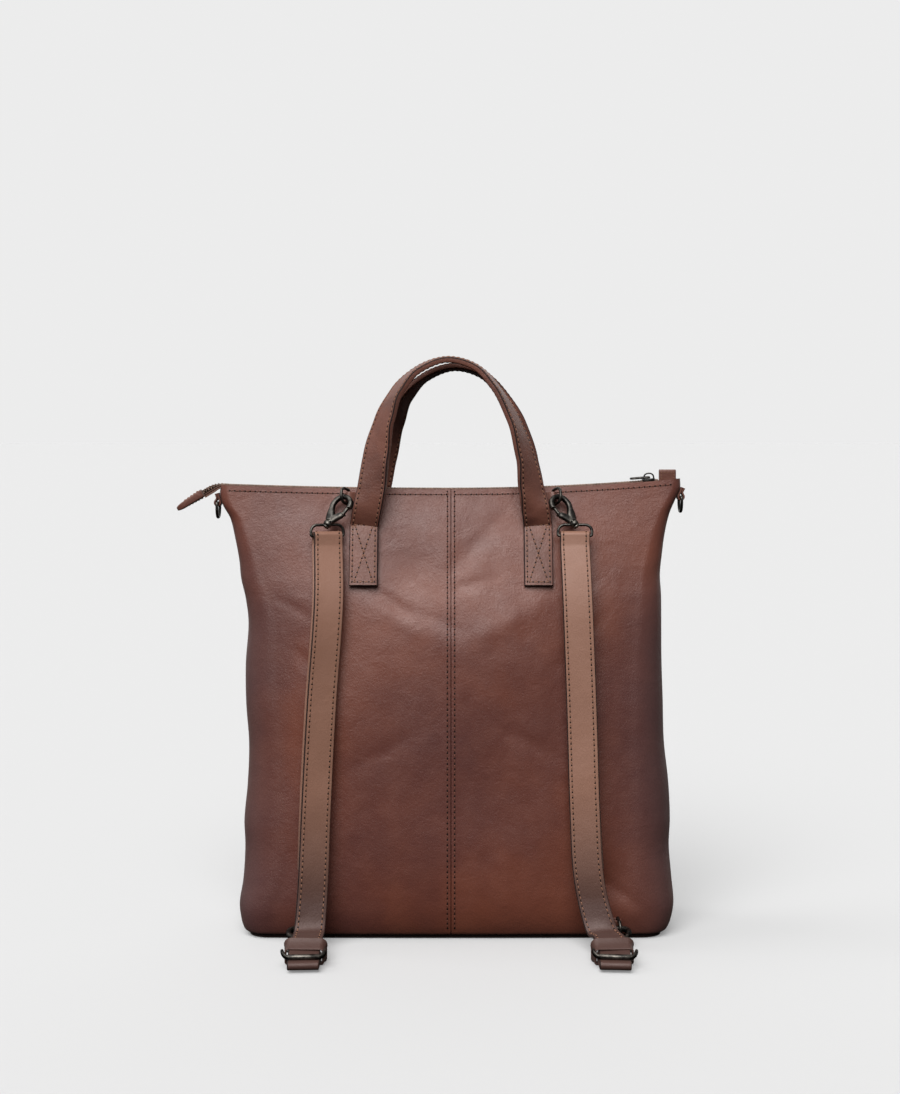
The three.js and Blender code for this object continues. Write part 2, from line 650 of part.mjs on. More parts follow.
// face: frame on the leather, whose across is the way from the bar to the sewn end, and along is the bar.
function loopGeometry(face, length, width) {
  const wrap = WIRE_RADIUS + CLEARANCE + RING_LOOP_LEATHER / 2;
  const low = LOOP_STANDOFF + RING_LOOP_LEATHER / 2;
  const second = low + RING_LOOP_LEATHER + CLEARANCE;
  const around = Array.from({ length: 7 }, (_, i) => {
    const angle = (Math.PI * i) / 6;
    return [-wrap * Math.sin(angle), BAR_STANDOFF - wrap * Math.cos(angle)];
  });
  const shoulder = [WIRE_RADIUS + CLEARANCE, BAR_STANDOFF + wrap - CLEARANCE];
  const profile = [[length, low], [length / 2, low], ...around, shoulder, [length / 2, second], [length, second]];
  const points = profile.map(([a, o]) => inFrame(face, a, o, 0));
  const last = points.length - 1;
  const frames = points.map((at, i) => {
    const ahead = points[Math.min(last, i + 1)].clone().sub(points[Math.max(0, i - 1)]).normalize();
    return { at, along: ahead, across: face.along, out: ahead.clone().cross(face.along) };
  });
  return sweep(frames, rectangle(width, RING_LOOP_LEATHER));
}

// A D-ring. bar: its middle, way: where its arch points, up: along its bar.
function dRingGeometry(bar, way, up, inside) {
  const frame = { at: bar, across: up, along: way, out: way.clone().cross(up) };
  const width = inside + 2 * WIRE_RADIUS;
  return wireLoop(frame, width, D_RING_DEPTH, WIRE_RADIUS + 0.1, 0.45 * width, WIRE_RADIUS);
}

// A D-ring on the bag's back with its loop. Gives the lowest point of the ring's outer half, where a hook hangs.
function addBackRing(name, x, z, sewn, lean) {
  const f = backFrame(x, z);
  const face = { at: f.at, across: f.across.clone().multiplyScalar(sewn), out: f.out, along: f.along };
  const width = D_RING_INSIDE - 4 * CLEARANCE;
  add(`${name}_loop_${x < 0 ? "left" : "right"}`, loopGeometry(face, RING_LOOP_LENGTH, width), LEATHER_BROWN);
  const bar = inFrame(f, 0, BAR_STANDOFF, 0);
  const angle = THREE.MathUtils.degToRad(lean);
  const way = f.out.clone().multiplyScalar(Math.sin(angle)).addScaledVector(f.across, -sewn * Math.cos(angle));
  add(`${name}_${x < 0 ? "left" : "right"}`, dRingGeometry(bar, way, f.along, D_RING_INSIDE), GUNMETAL);
  return { bar, way, up: f.along };
}

// The bag's outer end at a height, on the middle seam
function sidePoint(side, z) {
  const s = sectionAt(z / topHeight(side * HALF_WIDTH));
  return vector(side * (side < 0 ? s.left : s.right), 0, z);
}

function addSideRing(side) {
  const name = side < 0 ? "left" : "right";
  const z = 0.962 * topHeight(side * HALF_WIDTH);
  const [at, above] = [sidePoint(side, z), sidePoint(side, z + 4)];
  const climb = above.sub(at).normalize();
  const out = squareTo(vector(side, 0, 0), climb);
  const face = { at, across: climb, out, along: climb.clone().cross(out) };
  add(`side_ring_loop_${name}`, loopGeometry(face, 0.6 * RING_LOOP_LENGTH, 0.7 * SIDE_RING_INSIDE), LEATHER_BROWN);
  const bar = inFrame(face, 0, BAR_STANDOFF, 0);
  const ring = add(
    `side_ring_${name}`,
    dRingGeometry(bar, vector(0, 0, -1), vector(0, 1, 0), SIDE_RING_INSIDE),
    GUNMETAL,
  );
  ring.userData.hinge = { at: bar, axis: vector(0, side < 0 ? 1 : -1, 0) };
}

// Snap hooks

const EYE_TOP = HOOK_LENGTH - HOOK_WALL - 0.1;
const EYE_HALF_WIDTH = HOOK_HALF_WIDTH - HOOK_WALL;
const EYE_FOOT = 9;
const NOSE_FOOT = EYE_TOP - 4.2; // where the nose ends and the gate begins
const PIVOT = { across: HOOK_HALF_WIDTH - HOOK_WALL / 2 - 0.1, along: EYE_FOOT + 1.8 };
const WIRE_SEAT = EYE_TOP - WIRE_RADIUS - 5 * CLEARANCE;
const BOSS_FOOT = -CLEARANCE - BOSS_LENGTH;
const RING_HEAD = -CLEARANCE - 0.75 * BOSS_LENGTH;

function hookShape() {
  const shape = new THREE.Shape();
  const [w, n, top] = [HOOK_HALF_WIDTH, HOOK_NECK_HALF_WIDTH, HOOK_LENGTH - HOOK_HALF_WIDTH];
  shape.moveTo(-n, 0);
  shape.lineTo(n, 0);
  shape.quadraticCurveTo(n + 0.5, EYE_FOOT / 3, w - 1, EYE_FOOT);
  shape.quadraticCurveTo(w, EYE_FOOT + 2, w, top);
  shape.absarc(0, top, w, 0, Math.PI);
  shape.quadraticCurveTo(-w, EYE_FOOT + 2, 1 - w, EYE_FOOT);
  shape.quadraticCurveTo(-n - 0.5, EYE_FOOT / 3, -n, 0);
  return shape;
}

function eyeShape() {
  const eye = new THREE.Path();
  const r = EYE_HALF_WIDTH;
  eye.moveTo(r, EYE_FOOT + r);
  eye.lineTo(r, EYE_TOP - r);
  eye.absarc(0, EYE_TOP - r, r, 0, Math.PI);
  eye.lineTo(-r, EYE_FOOT + r);
  eye.absarc(0, EYE_FOOT + r, r, Math.PI, 2 * Math.PI);
  return eye;
}

// Local axes of a hook: x across to its gate, y along its axis to its eye, z out of its face
function hookPlate() {
  const shape = hookShape();
  shape.holes.push(eyeShape());
  const plate = new THREE.ExtrudeGeometry(shape, { depth: HOOK_THICKNESS, bevelEnabled: false, curveSegments: 4 });
  return solidOf(plate.translate(0, 0, -HOOK_THICKNESS / 2));
}

function post(radius, from, to, sides = 8) {
  const geometry = new THREE.CylinderGeometry(radius, radius, to - from, sides);
  return solidOf(geometry.translate(0, (from + to) / 2, 0));
}

function pivotPin(radius, half, sides = 8) {
  const pin = new THREE.CylinderGeometry(radius, radius, 2 * half, sides).rotateX(Math.PI / 2);
  return solidOf(pin.translate(PIVOT.across, PIVOT.along, 0));
}

function hookSolid() {
  const beyond = 2 * HOOK_HALF_WIDTH;
  const halfSlot = GATE_THICKNESS / 2 + CLEARANCE;
  const opening = boxBetween(
    vector(EYE_HALF_WIDTH - 1.2, PIVOT.along + 1.9, -beyond),
    vector(beyond, NOSE_FOOT, beyond),
  );
  const slot = boxBetween(
    vector(EYE_HALF_WIDTH - 1.6, PIVOT.along - 2.4, -halfSlot),
    vector(beyond, NOSE_FOOT, halfSlot),
  );
  const headFoot = BOSS_FOOT - CLEARANCE;
  return hookPlate()
    .subtract(solidOf(opening))
    .subtract(solidOf(slot))
    .add(pivotPin(PIVOT_RADIUS, HOOK_THICKNESS / 2 - 0.2))
    .add(post(STEM_RADIUS, headFoot - 0.5, 0.5))
    .add(post(STEM_HEAD_RADIUS, headFoot - 1.2, headFoot));
}

function gateSolid() {
  const half = GATE_WIDTH / 2;
  const foot = GATE_WIDTH / 2 + 0.4;
  const t = GATE_THICKNESS / 2;
  const blade = boxBetween(
    vector(PIVOT.across - half, PIVOT.along, -t),
    vector(PIVOT.across + half, NOSE_FOOT - CLEARANCE, t),
  );
  const heel = new THREE.CylinderGeometry(foot, foot, GATE_THICKNESS, 12).rotateX(Math.PI / 2);
  return solidOf(blade)
    .add(solidOf(heel.translate(PIVOT.across, PIVOT.along, 0)))
    .subtract(pivotPin(PIVOT_RADIUS + CLEARANCE, 2 * HOOK_THICKNESS));
}

// A wire loop with a boss that turns on the hook's stem. tilt: how far the loop leans off the hook's axis, in degrees.
function swivelRing(hook, ringAxis, ringAcross) {
  const boss = placed(
    geometryFrom(post(BOSS_RADIUS, BOSS_FOOT, -CLEARANCE).subtract(post(STEM_RADIUS + CLEARANCE, 2 * BOSS_FOOT, BOSS_LENGTH))),
    { at: hook.at, across: hook.across, out: hook.axis, along: hook.face },
  );
  const head = hook.at.clone().addScaledVector(hook.axis, RING_HEAD);
  const down = ringAxis.clone().negate();
  const across = squareTo(ringAcross, down);
  const width = STRAP_WIDTH + 2 * CLEARANCE + 0.4 + 2 * WIRE_RADIUS;
  const foot = head.clone().addScaledVector(down, SWIVEL_RING_HEIGHT);
  const frame = { at: foot, across, along: ringAxis, out: ringAxis.clone().cross(across) };
  const wire = solidOf(wireLoop(frame, width, SWIVEL_RING_HEIGHT, WIRE_RADIUS + 0.1, 5.5, WIRE_RADIUS));
  const bore = placed(
    geometryFrom(post(STEM_RADIUS + CLEARANCE, BOSS_FOOT - 3, 1)),
    { at: hook.at, across: hook.across, out: hook.axis, along: hook.face },
  );
  const headRoom = placed(
    geometryFrom(post(STEM_HEAD_RADIUS + CLEARANCE, BOSS_FOOT - 3, BOSS_FOOT)),
    { at: hook.at, across: hook.across, out: hook.axis, along: hook.face },
  );
  const neckRoom = placed(
    geometryFrom(post(HOOK_NECK_HALF_WIDTH + 5 * CLEARANCE, -CLEARANCE, EYE_FOOT / 2)),
    { at: hook.at, across: hook.across, out: hook.axis, along: hook.face },
  );
  const cuts = [bore, headRoom, neckRoom].map(solidOf);
  const solid = cuts.reduce((left, cut) => left.subtract(cut), solidOf(boss).add(wire));
  return { geometry: geometryFrom(solid), bar: foot, across };
}

// A snap hook hung on a ring's wire at seat. axis: from its swivel to its eye; face: out of its plate.
function addHook(name, side, seat, axis, face, ringAxis, ringAcross) {
  const label = side < 0 ? "left" : "right";
  const out = squareTo(face, axis);
  const gateWay = axis.clone().cross(out);
  const hook = { at: seat.clone().addScaledVector(axis, -WIRE_SEAT), axis, face: out, across: gateWay };
  const frame = { at: hook.at, across: gateWay, out: axis, along: out };
  add(`${name}_${label}`, placed(geometryFrom(hookSolid()), frame), GUNMETAL);
  const gate = add(`${name}_gate_${label}`, placed(geometryFrom(gateSolid()), frame), GUNMETAL);
  gate.userData.hinge = { at: inFrame(frame, PIVOT.across, PIVOT.along, 0), axis: out };
  const ring = swivelRing(hook, ringAxis, ringAcross);
  add(`${name}_ring_${label}`, ring.geometry, GUNMETAL);
  return ring;
}

// Shoulder straps

const PLY_WRAP = WIRE_RADIUS + CLEARANCE + STRAP_THICKNESS / 2;
const FLOOR_PLY = KEEPER_LEATHER + 2 * CLEARANCE + STRAP_THICKNESS / 2; // height of the ply that lies on the floor
const TIP_RADIUS = STRAP_THICKNESS / 2 + 0.9;
const LOW_BAR_HEIGHT = FLOOR_PLY + PLY_WRAP; // of the bar that a strap's lower end wraps

function backDepthAt(x, z) {
  return backPoint(x, Math.max(z, 0.03 * BAG_HEIGHT)).y;
}

// Way across a strap that is turned about the upright
function acrossAt(turn) {
  const angle = THREE.MathUtils.degToRad(turn);
  return vector(Math.cos(angle), Math.sin(angle), 0);
}

// Middle line of a strap, from its swivel ring down to the floor, with the way across it
function strapFall(side, top) {
  const [key, turnKey] = side < 0 ? ["left", "turnLeft"] : ["right", "turnRight"];
  return STRAP_FALL.map((row) => {
    const x = row[key] * HALF_WIDTH;
    const z = Math.max(row.up * top.z, FLOOR_PLY + 2 * STRAP_THICKNESS);
    return { at: vector(x, backDepthAt(x, z) - row.out * STRAP_REACH, z), turn: row[turnKey] };
  });
}

function addStrap(side, topRing, lowRing, buckle) {
  const label = side < 0 ? "left" : "right";
  const fall = strapFall(side, topRing.bar);
  const startTurn = STRAP_START[label].turn;
  const top = topRing.bar;

  // The front ply: over the ring's bar, down, under the buckle's front bar, round the tip and back along the floor.
  const rows = [{ at: top.clone().addScaledVector(UP, -3 * STRAP_THICKNESS), turn: startTurn }, ...fall];
  const front = rows.map(({ at, turn }, i) => {
    const out = acrossAt(turn).cross(UP);
    const spread = i === 0 ? PLY_WRAP : (STRAP_PLY_GAP + STRAP_THICKNESS) / 2;
    return at.clone().addScaledVector(out, i > 4 ? 0 : spread);
  });
  const rear = rows.slice(0, 5).map(({ at, turn }, i) => {
    const out = acrossAt(turn).cross(UP);
    const spread = i === 0 ? PLY_WRAP : (STRAP_PLY_GAP + STRAP_THICKNESS) / 2;
    return at.clone().addScaledVector(out, -spread);
  });
  const startOut = acrossAt(startTurn).cross(UP);
  const wrap = Array.from({ length: 7 }, (_, i) => {
    const angle = (Math.PI * i) / 6;
    return top
      .clone()
      .addScaledVector(startOut, -PLY_WRAP * Math.cos(angle))
      .addScaledVector(UP, PLY_WRAP * Math.sin(angle));
  });
  const rearPath = smoothed([...rear].reverse(), 11);
  const frontPath = smoothed([...front, buckle.overRear, buckle.underFront], 19);
  const tip = buckle.tip;
  const tipTurn = Array.from({ length: 5 }, (_, i) => {
    const angle = (Math.PI * i) / 4;
    return vector(tip.x, tip.y - TIP_RADIUS * Math.sin(angle), tip.z + TIP_RADIUS * Math.cos(angle));
  });
  const floorPath = [
    vector(tip.x, tip.y + STRAP_WIDTH / 2, FLOOR_PLY),
    vector(tip.x, lowRing.bar.y - 3 * PLY_WRAP, FLOOR_PLY),
  ];
  const lowOut = lowRing.across.clone().cross(UP).multiplyScalar(lowRing.across.x > 0 ? 1 : -1);
  const lowWrap = Array.from({ length: 8 }, (_, i) => {
    const angle = (Math.PI * (i - 0.5)) / 6;
    return lowRing.bar
      .clone()
      .addScaledVector(lowOut, -PLY_WRAP * Math.sin(angle))
      .addScaledVector(UP, -PLY_WRAP * Math.cos(angle));
  });
  const points = [...rearPath, ...wrap, ...frontPath, ...tipTurn, ...floorPath, ...lowWrap];

  // The way across the strap, from the turns at the table's rows
  const knots = [
    { z: Infinity, turn: startTurn },
    { z: top.z, turn: startTurn },
    ...fall.map(({ at, turn }) => ({ z: at.z, turn })),
  ];
  const turnAt = (z) => {
    const low = knots.findIndex((k) => k.z <= z);
    if (low < 1) {
      return low < 0 ? knots.at(-1).turn : startTurn;
    }
    const [a, b] = [knots[low - 1], knots[low]];
    return mix(b.turn, a.turn, Math.min(1, (z - b.z) / (a.z - b.z)));
  };
  const flatFrom = rearPath.length + wrap.length + frontPath.length;
  const lowTurn = THREE.MathUtils.radToDeg(Math.atan2(lowRing.across.y, lowRing.across.x));
  const last = points.length - 1;
  const frames = points.map((at, i) => {
    const before = points[Math.max(0, i - 1)];
    const after = points[Math.min(last, i + 1)];
    const along = after.clone().sub(before).normalize();
    const tipTurned = i < points.length - lowWrap.length ? knots.at(-1).turn : lowTurn;
    const turn = i < flatFrom ? turnAt(at.z) : tipTurned;
    const across = squareTo(acrossAt(turn), along);
    return { at, along, across, out: along.clone().cross(across) };
  });
  add(`shoulder_strap_${label}`, sweep(frames, rectangle(STRAP_WIDTH, STRAP_THICKNESS)), STRAP_BROWN);
  addKeeper(label, frames.slice(rearPath.length, flatFrom), buckle);
}

// A leather band round both plies of the strap, just above its buckle
function addKeeper(label, frames, buckle) {
  const y = buckle.rearBar.y + BUCKLE_WIRE_RADIUS + KEEPER_WIDTH / 2 + 2;
  const next = frames.findIndex((f) => f.at.y < y && f.at.z < 0.1 * BAG_HEIGHT);
  const [before, after] = [frames[next - 1], frames[next]];
  const share = (before.at.y - y) / (before.at.y - after.at.y);
  const upper = { at: before.at.clone().lerp(after.at, share), across: after.across };
  const width = STRAP_WIDTH + 2 * (CLEARANCE + KEEPER_LEATHER) + 2.2;
  const low = KEEPER_LEATHER / 2 + CLEARANCE;
  const foot = vector(mix(upper.at.x, buckle.tip.x, 0.5), upper.at.y, low);
  const high = upper.at.z + STRAP_THICKNESS / 2 + 3 * CLEARANCE + KEEPER_LEATHER;
  const across = squareTo(upper.across, UP);
  const frame = { at: foot, across, along: UP, out: UP.clone().cross(across) };
  const path = loopPath(frame, width, high - low, KEEPER_LEATHER, 3.5, 2);
  const frames2 = framesAlong(path, () => frame.out, true);
  const outline = [
    [-KEEPER_LEATHER / 2, -KEEPER_WIDTH / 2],
    [KEEPER_LEATHER / 2, -KEEPER_WIDTH / 2],
    [KEEPER_LEATHER / 2, KEEPER_WIDTH / 2],
    [-KEEPER_LEATHER / 2, KEEPER_WIDTH / 2],
  ];
  add(`strap_keeper_${label}`, sweep(frames2, outline, true), STRAP_BROWN);
}

// A slide buckle near the tip of a strap: the strap passes over its rear bar and under its front bar.
function buckleAt(side) {
  const key = side < 0 ? "left" : "right";
  const x = STRAP_TIP[key] * HALF_WIDTH;
  const back = backDepthAt(x, 0);
  const tip = vector(x, back - STRAP_REACH + TIP_RADIUS + STRAP_THICKNESS / 2, FLOOR_PLY + TIP_RADIUS);
  const turn = STRAP_FALL.at(-1)[side < 0 ? "turnLeft" : "turnRight"];
  const frontZ = tip.z + TIP_RADIUS + STRAP_THICKNESS / 2 + CLEARANCE + ROLLER_RADIUS;
  const frontBar = vector(x, tip.y + ROLLER_RADIUS + STRAP_THICKNESS, frontZ);
  const rearZ = FLOOR_PLY + STRAP_THICKNESS / 2 + 2 * CLEARANCE + BUCKLE_WIRE_RADIUS;
  const inward = UP.clone().cross(acrossAt(turn));
  const rearBar = frontBar.clone().addScaledVector(inward, BUCKLE_DEPTH).setZ(rearZ);
  const clear = STRAP_THICKNESS / 2 + 2 * CLEARANCE;
  return {
    tip,
    turn,
    frontBar,
    rearBar,
    overRear: rearBar.clone().add(vector(0, 0, BUCKLE_WIRE_RADIUS + clear)),
    underFront: vector(x, frontBar.y, frontBar.z - ROLLER_RADIUS - clear + CLEARANCE),
  };
}

function addBuckle(side, buckle) {
  const label = side < 0 ? "left" : "right";
  const along = buckle.frontBar.clone().sub(buckle.rearBar).normalize();
  const across = squareTo(acrossAt(buckle.turn), along);
  const frame = { at: buckle.rearBar, across, along, out: along.clone().cross(across) };
  const depth = buckle.frontBar.distanceTo(buckle.rearBar);
  const width = BUCKLE_INSIDE + 2 * BUCKLE_WIRE_RADIUS;
  const wire = wireLoop(frame, width, depth, BUCKLE_CORNER, BUCKLE_CORNER, BUCKLE_WIRE_RADIUS, 2, 6);
  const roller = sweep(
    [-1, -0.92, 0.92, 1].map((share) => ({
      ...frame,
      at: inFrame({ ...frame, at: buckle.frontBar }, share * (width / 2 - BUCKLE_CORNER), 0, 0),
      across: frame.out,
      out: frame.along,
    })),
    circle(ROLLER_RADIUS, 8),
  );
  add(`strap_buckle_${label}`, geometryFrom(solidOf(wire).add(solidOf(roller))), GUNMETAL);
}

function addStraps() {
  for (const side of [-1, 1]) {
    const upper = addBackRing("strap_ring", side * STRAP_RING_ACROSS, BAG_HEIGHT - STRAP_RING_DROP, side, 62);
    const armMiddle = upper.bar
      .clone()
      .addScaledVector(upper.way, 0.66 * D_RING_DEPTH)
      .addScaledVector(upper.up, -(D_RING_INSIDE / 2 + WIRE_RADIUS));
    const axis = unit(vector(-side * 0.56, 0.34, 0.76));
    const startTurn = STRAP_START[side < 0 ? "left" : "right"].turn;
    const ringAxis = squareTo(vector(-side * 0.3, 0.25, 0.92), acrossAt(startTurn));
    const face = upper.way.clone().multiplyScalar(-side);
    const topRing = addHook("upper_hook", side, armMiddle, axis, face, ringAxis, acrossAt(startTurn));

    const buckle = buckleAt(side);
    const baseX = buckle.tip.x + side * BASE_RING_OUTWARD;
    const lower = addBackRing("base_ring", baseX, BASE_RING_HEIGHT, side, 85);
    const seat = lower.bar.clone().addScaledVector(lower.way, D_RING_DEPTH);
    const reach = WIRE_SEAT - RING_HEAD + SWIVEL_RING_HEIGHT;
    const climb = (seat.z - LOW_BAR_HEIGHT) / reach;
    const sideways = (side * BASE_RING_OUTWARD) / reach;
    const lowAxis = vector(sideways, Math.sqrt(1 - climb ** 2 - sideways ** 2), climb);
    const lowRing = addHook("lower_hook", side, seat, lowAxis, UP, lowAxis, lowAxis.clone().cross(UP));
    addBuckle(side, buckle);
    addStrap(side, topRing, lowRing, buckle);
  }
}

addPanels();
addBase();
addZip();
addHandles();
addSideRing(-1);
addSideRing(1);
addStraps();

export default part;
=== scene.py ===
"""A brown leather tote that turns into a backpack, dressed over its fixed frame and seen from its strap side.

Sizes are in millimetres in the frame's own axes (+Z up, the back with its straps faces -Y) and become metres when a
mesh is made. Each sub-assembly is a class whose fields are its sizes.
"""

from __future__ import annotations

import logging
from dataclasses import dataclass
from enum import Enum
from math import atan2, copysign, cos, degrees, exp, pi, radians, sin, sqrt
from typing import Callable, Iterable, Sequence

import bmesh
import bpy
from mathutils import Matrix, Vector, noise

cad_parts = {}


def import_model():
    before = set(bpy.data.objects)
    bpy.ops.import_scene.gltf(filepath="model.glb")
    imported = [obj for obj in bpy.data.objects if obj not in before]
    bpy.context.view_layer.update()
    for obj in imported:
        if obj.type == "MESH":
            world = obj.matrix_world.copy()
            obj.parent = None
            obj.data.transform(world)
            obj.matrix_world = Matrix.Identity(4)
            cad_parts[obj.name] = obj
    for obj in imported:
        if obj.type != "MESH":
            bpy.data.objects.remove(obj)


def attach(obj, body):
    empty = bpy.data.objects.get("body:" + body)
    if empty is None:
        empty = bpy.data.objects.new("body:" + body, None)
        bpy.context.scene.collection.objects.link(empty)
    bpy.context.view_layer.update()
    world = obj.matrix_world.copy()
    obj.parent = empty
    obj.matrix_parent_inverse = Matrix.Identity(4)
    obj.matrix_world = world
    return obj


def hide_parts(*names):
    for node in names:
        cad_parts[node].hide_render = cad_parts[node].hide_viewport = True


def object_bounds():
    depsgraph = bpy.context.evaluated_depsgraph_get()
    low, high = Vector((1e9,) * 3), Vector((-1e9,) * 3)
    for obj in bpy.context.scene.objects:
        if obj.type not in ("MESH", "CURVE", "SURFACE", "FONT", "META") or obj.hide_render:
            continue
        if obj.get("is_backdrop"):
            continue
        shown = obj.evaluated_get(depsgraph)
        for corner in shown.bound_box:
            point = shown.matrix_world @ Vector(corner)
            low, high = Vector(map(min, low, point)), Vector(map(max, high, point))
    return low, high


LOG = logging.getLogger("tote")
MM = 0.001
UP = Vector((0, 0, 1))
SHARP_ANGLE = 40.0  # edges sharper than this stay sharp, in degrees
MERGE = 1e-6  # points nearer than this are one, in metres
BEVEL = 4  # steps in each softened corner of a leather strip

Tree = bpy.types.NodeTree
Node = bpy.types.Node
Socket = bpy.types.NodeSocket
Material = bpy.types.Material
Tone = tuple[float, float, float]
Outline = Sequence[tuple[float, float]]
Line = Sequence[Vector]


def rows_of(kind: type, rows: Sequence[Sequence[object]]) -> tuple:
    """Makes a record of a kind from each row of a table."""
    return tuple(kind(*row) for row in rows)


class Facing(Enum):
    """Which face of the bag a piece belongs to."""

    BACK = -1
    FRONT = 1


class Side(Enum):
    """Which end of the bag a piece belongs to."""

    LEFT = -1
    RIGHT = 1

    @property
    def label(self) -> str:
        """The word that the frame's node names end with."""
        return self.name.lower()


# Finishes


@dataclass(frozen=True)
class LeatherFinish:
    """One dyed leather: its tones, its gloss and the scale of its grain, with any painted shade.

    Args:
        name: name of the material.
        deep: colour in the creases and the darker patches, linear.
        mid: main colour, linear.
        light: colour of the rubbed, paler patches, linear.
        gloss: roughness of the polished parts.
        dull: roughness of the dry parts.
        patch: size of the dye's patches, in metres.
        grain: strength of the pebbled grain.
        coat: weight of the clear finish.
        shine: strength of its reflections.
        foot: colour of the painted shade that it darkens to near the floor, or None.
        side_shade: colour of the painted shade that it darkens to at the bag's ends, or None.
    """

    name: str
    deep: Tone
    mid: Tone
    light: Tone
    gloss: float = 0.4
    dull: float = 0.58
    patch: float = 0.07
    grain: float = 0.16
    coat: float = 0.04
    shine: float = 0.5
    foot: Tone | None = None
    side_shade: Tone | None = None

    def build(self, effects: "Effects") -> Material:
        """Makes the material.

        Args:
            effects: the shared node groups.

        Returns:
            The material.
        """
        mat, tree, shader = new_material(self.name)
        values = {
            "Deep": self.deep, "Mid": self.mid, "Light": self.light, "Patch size": self.patch,
            "Grain": self.grain, "Polished": self.gloss, "Dry": self.dull,
        }
        color = place_effect(tree, effects.leather, values, shader)
        # painted shades: darker near the floor and at the bag's lower ends
        for tone, effect in ((self.foot, effects.foot), (self.side_shade, effects.side_shade)):
            if tone:
                fade = place_effect(tree, effect, {"Tone": tone}, shader)
                tree.links.new(color.outputs["Color"], fade.inputs["Color"])
                color = fade
        tint, sheen = (1.0, 0.85, 0.81, 1), (1.0, 0.82, 0.74, 1)
        set_inputs(shader, {"Specular IOR Level": self.shine, "Specular Tint": tint})
        set_inputs(shader, {"Coat Weight": self.coat, "Coat Roughness": 0.35})
        set_inputs(shader, {"Sheen Weight": 0.06, "Sheen Roughness": 0.5, "Sheen Tint": sheen})
        return mat


@dataclass(frozen=True)
class MetalFinish:
    """A darkened cast metal that is rubbed bright on its edges.

    Args:
        name: name of the material.
        dark: colour of the darkened skin, linear.
        bright: colour of the rubbed metal, linear.
        roughness: of the skin.
    """

    name: str
    dark: Tone
    bright: Tone
    roughness: float = 0.36

    def build(self, effects: "Effects") -> Material:
        """Makes the material.

        Args:
            effects: the shared node groups.

        Returns:
            The material.
        """
        mat, tree, shader = new_material(self.name)
        values = {"Dark": self.dark, "Bright": self.bright, "Skin roughness": self.roughness}
        place_effect(tree, effects.metal, values, shader)
        set_inputs(shader, {"Metallic": 1.0})
        return mat


@dataclass(frozen=True)
class ThreadFinish:
    """Twisted sewing thread or woven tape.

    Args:
        name: name of the material.
        dark: colour between the strands, linear.
        light: colour of the strands, linear.
        strand: width of a strand, in metres.
    """

    name: str
    dark: Tone
    light: Tone
    strand: float = 0.0004

    def build(self, effects: "Effects") -> Material:
        """Makes the material.

        Args:
            effects: the shared node groups.

        Returns:
            The material.
        """
        mat, tree, shader = new_material(self.name)
        place_effect(tree, effects.weave, {"Dark": self.dark, "Light": self.light, "Strand": self.strand}, shader)
        set_inputs(shader, {"Roughness": 0.75, "Specular IOR Level": 0.15})
        return mat


def new_material(name: str) -> tuple[Material, Tree, Node]:
    """Makes a node material.

    Args:
        name: its name.

    Returns:
        The material, its tree and its Principled shader.
    """
    mat = bpy.data.materials.new(name)
    mat.use_nodes = True
    tree = mat.node_tree
    return mat, tree, tree.nodes["Principled BSDF"]


def set_inputs(node: Node, values: dict[str, object]) -> None:
    """Sets a node's own inputs."""
    for label, value in values.items():
        node.inputs[label].default_value = value


def place_effect(tree: Tree, group: Tree, values: dict[str, object], shader: Node) -> Node:
    """Places a shared effect in a material and links what it puts out to the shader.

    Args:
        tree: the material's tree.
        group: the effect's group.
        values: the material's own values for the group's inputs, with a tone for each colour.
        shader: the material's shader.

    Returns:
        The group's node.
    """
    node = tree.nodes.new("ShaderNodeGroup")
    node.node_tree = group
    node.location = (-260 * len(tree.nodes), 0)
    set_inputs(node, {label: (*v, 1) if isinstance(v, tuple) else v for label, v in values.items()})
    for label, target in (("Color", "Base Color"), ("Roughness", "Roughness"), ("Normal", "Normal")):
        if label in node.outputs:
            tree.links.new(node.outputs[label], shader.inputs[target])
    return node


OUTPUTS = {"Color": "NodeSocketColor", "Roughness": "NodeSocketFloat", "Normal": "NodeSocketVector"}


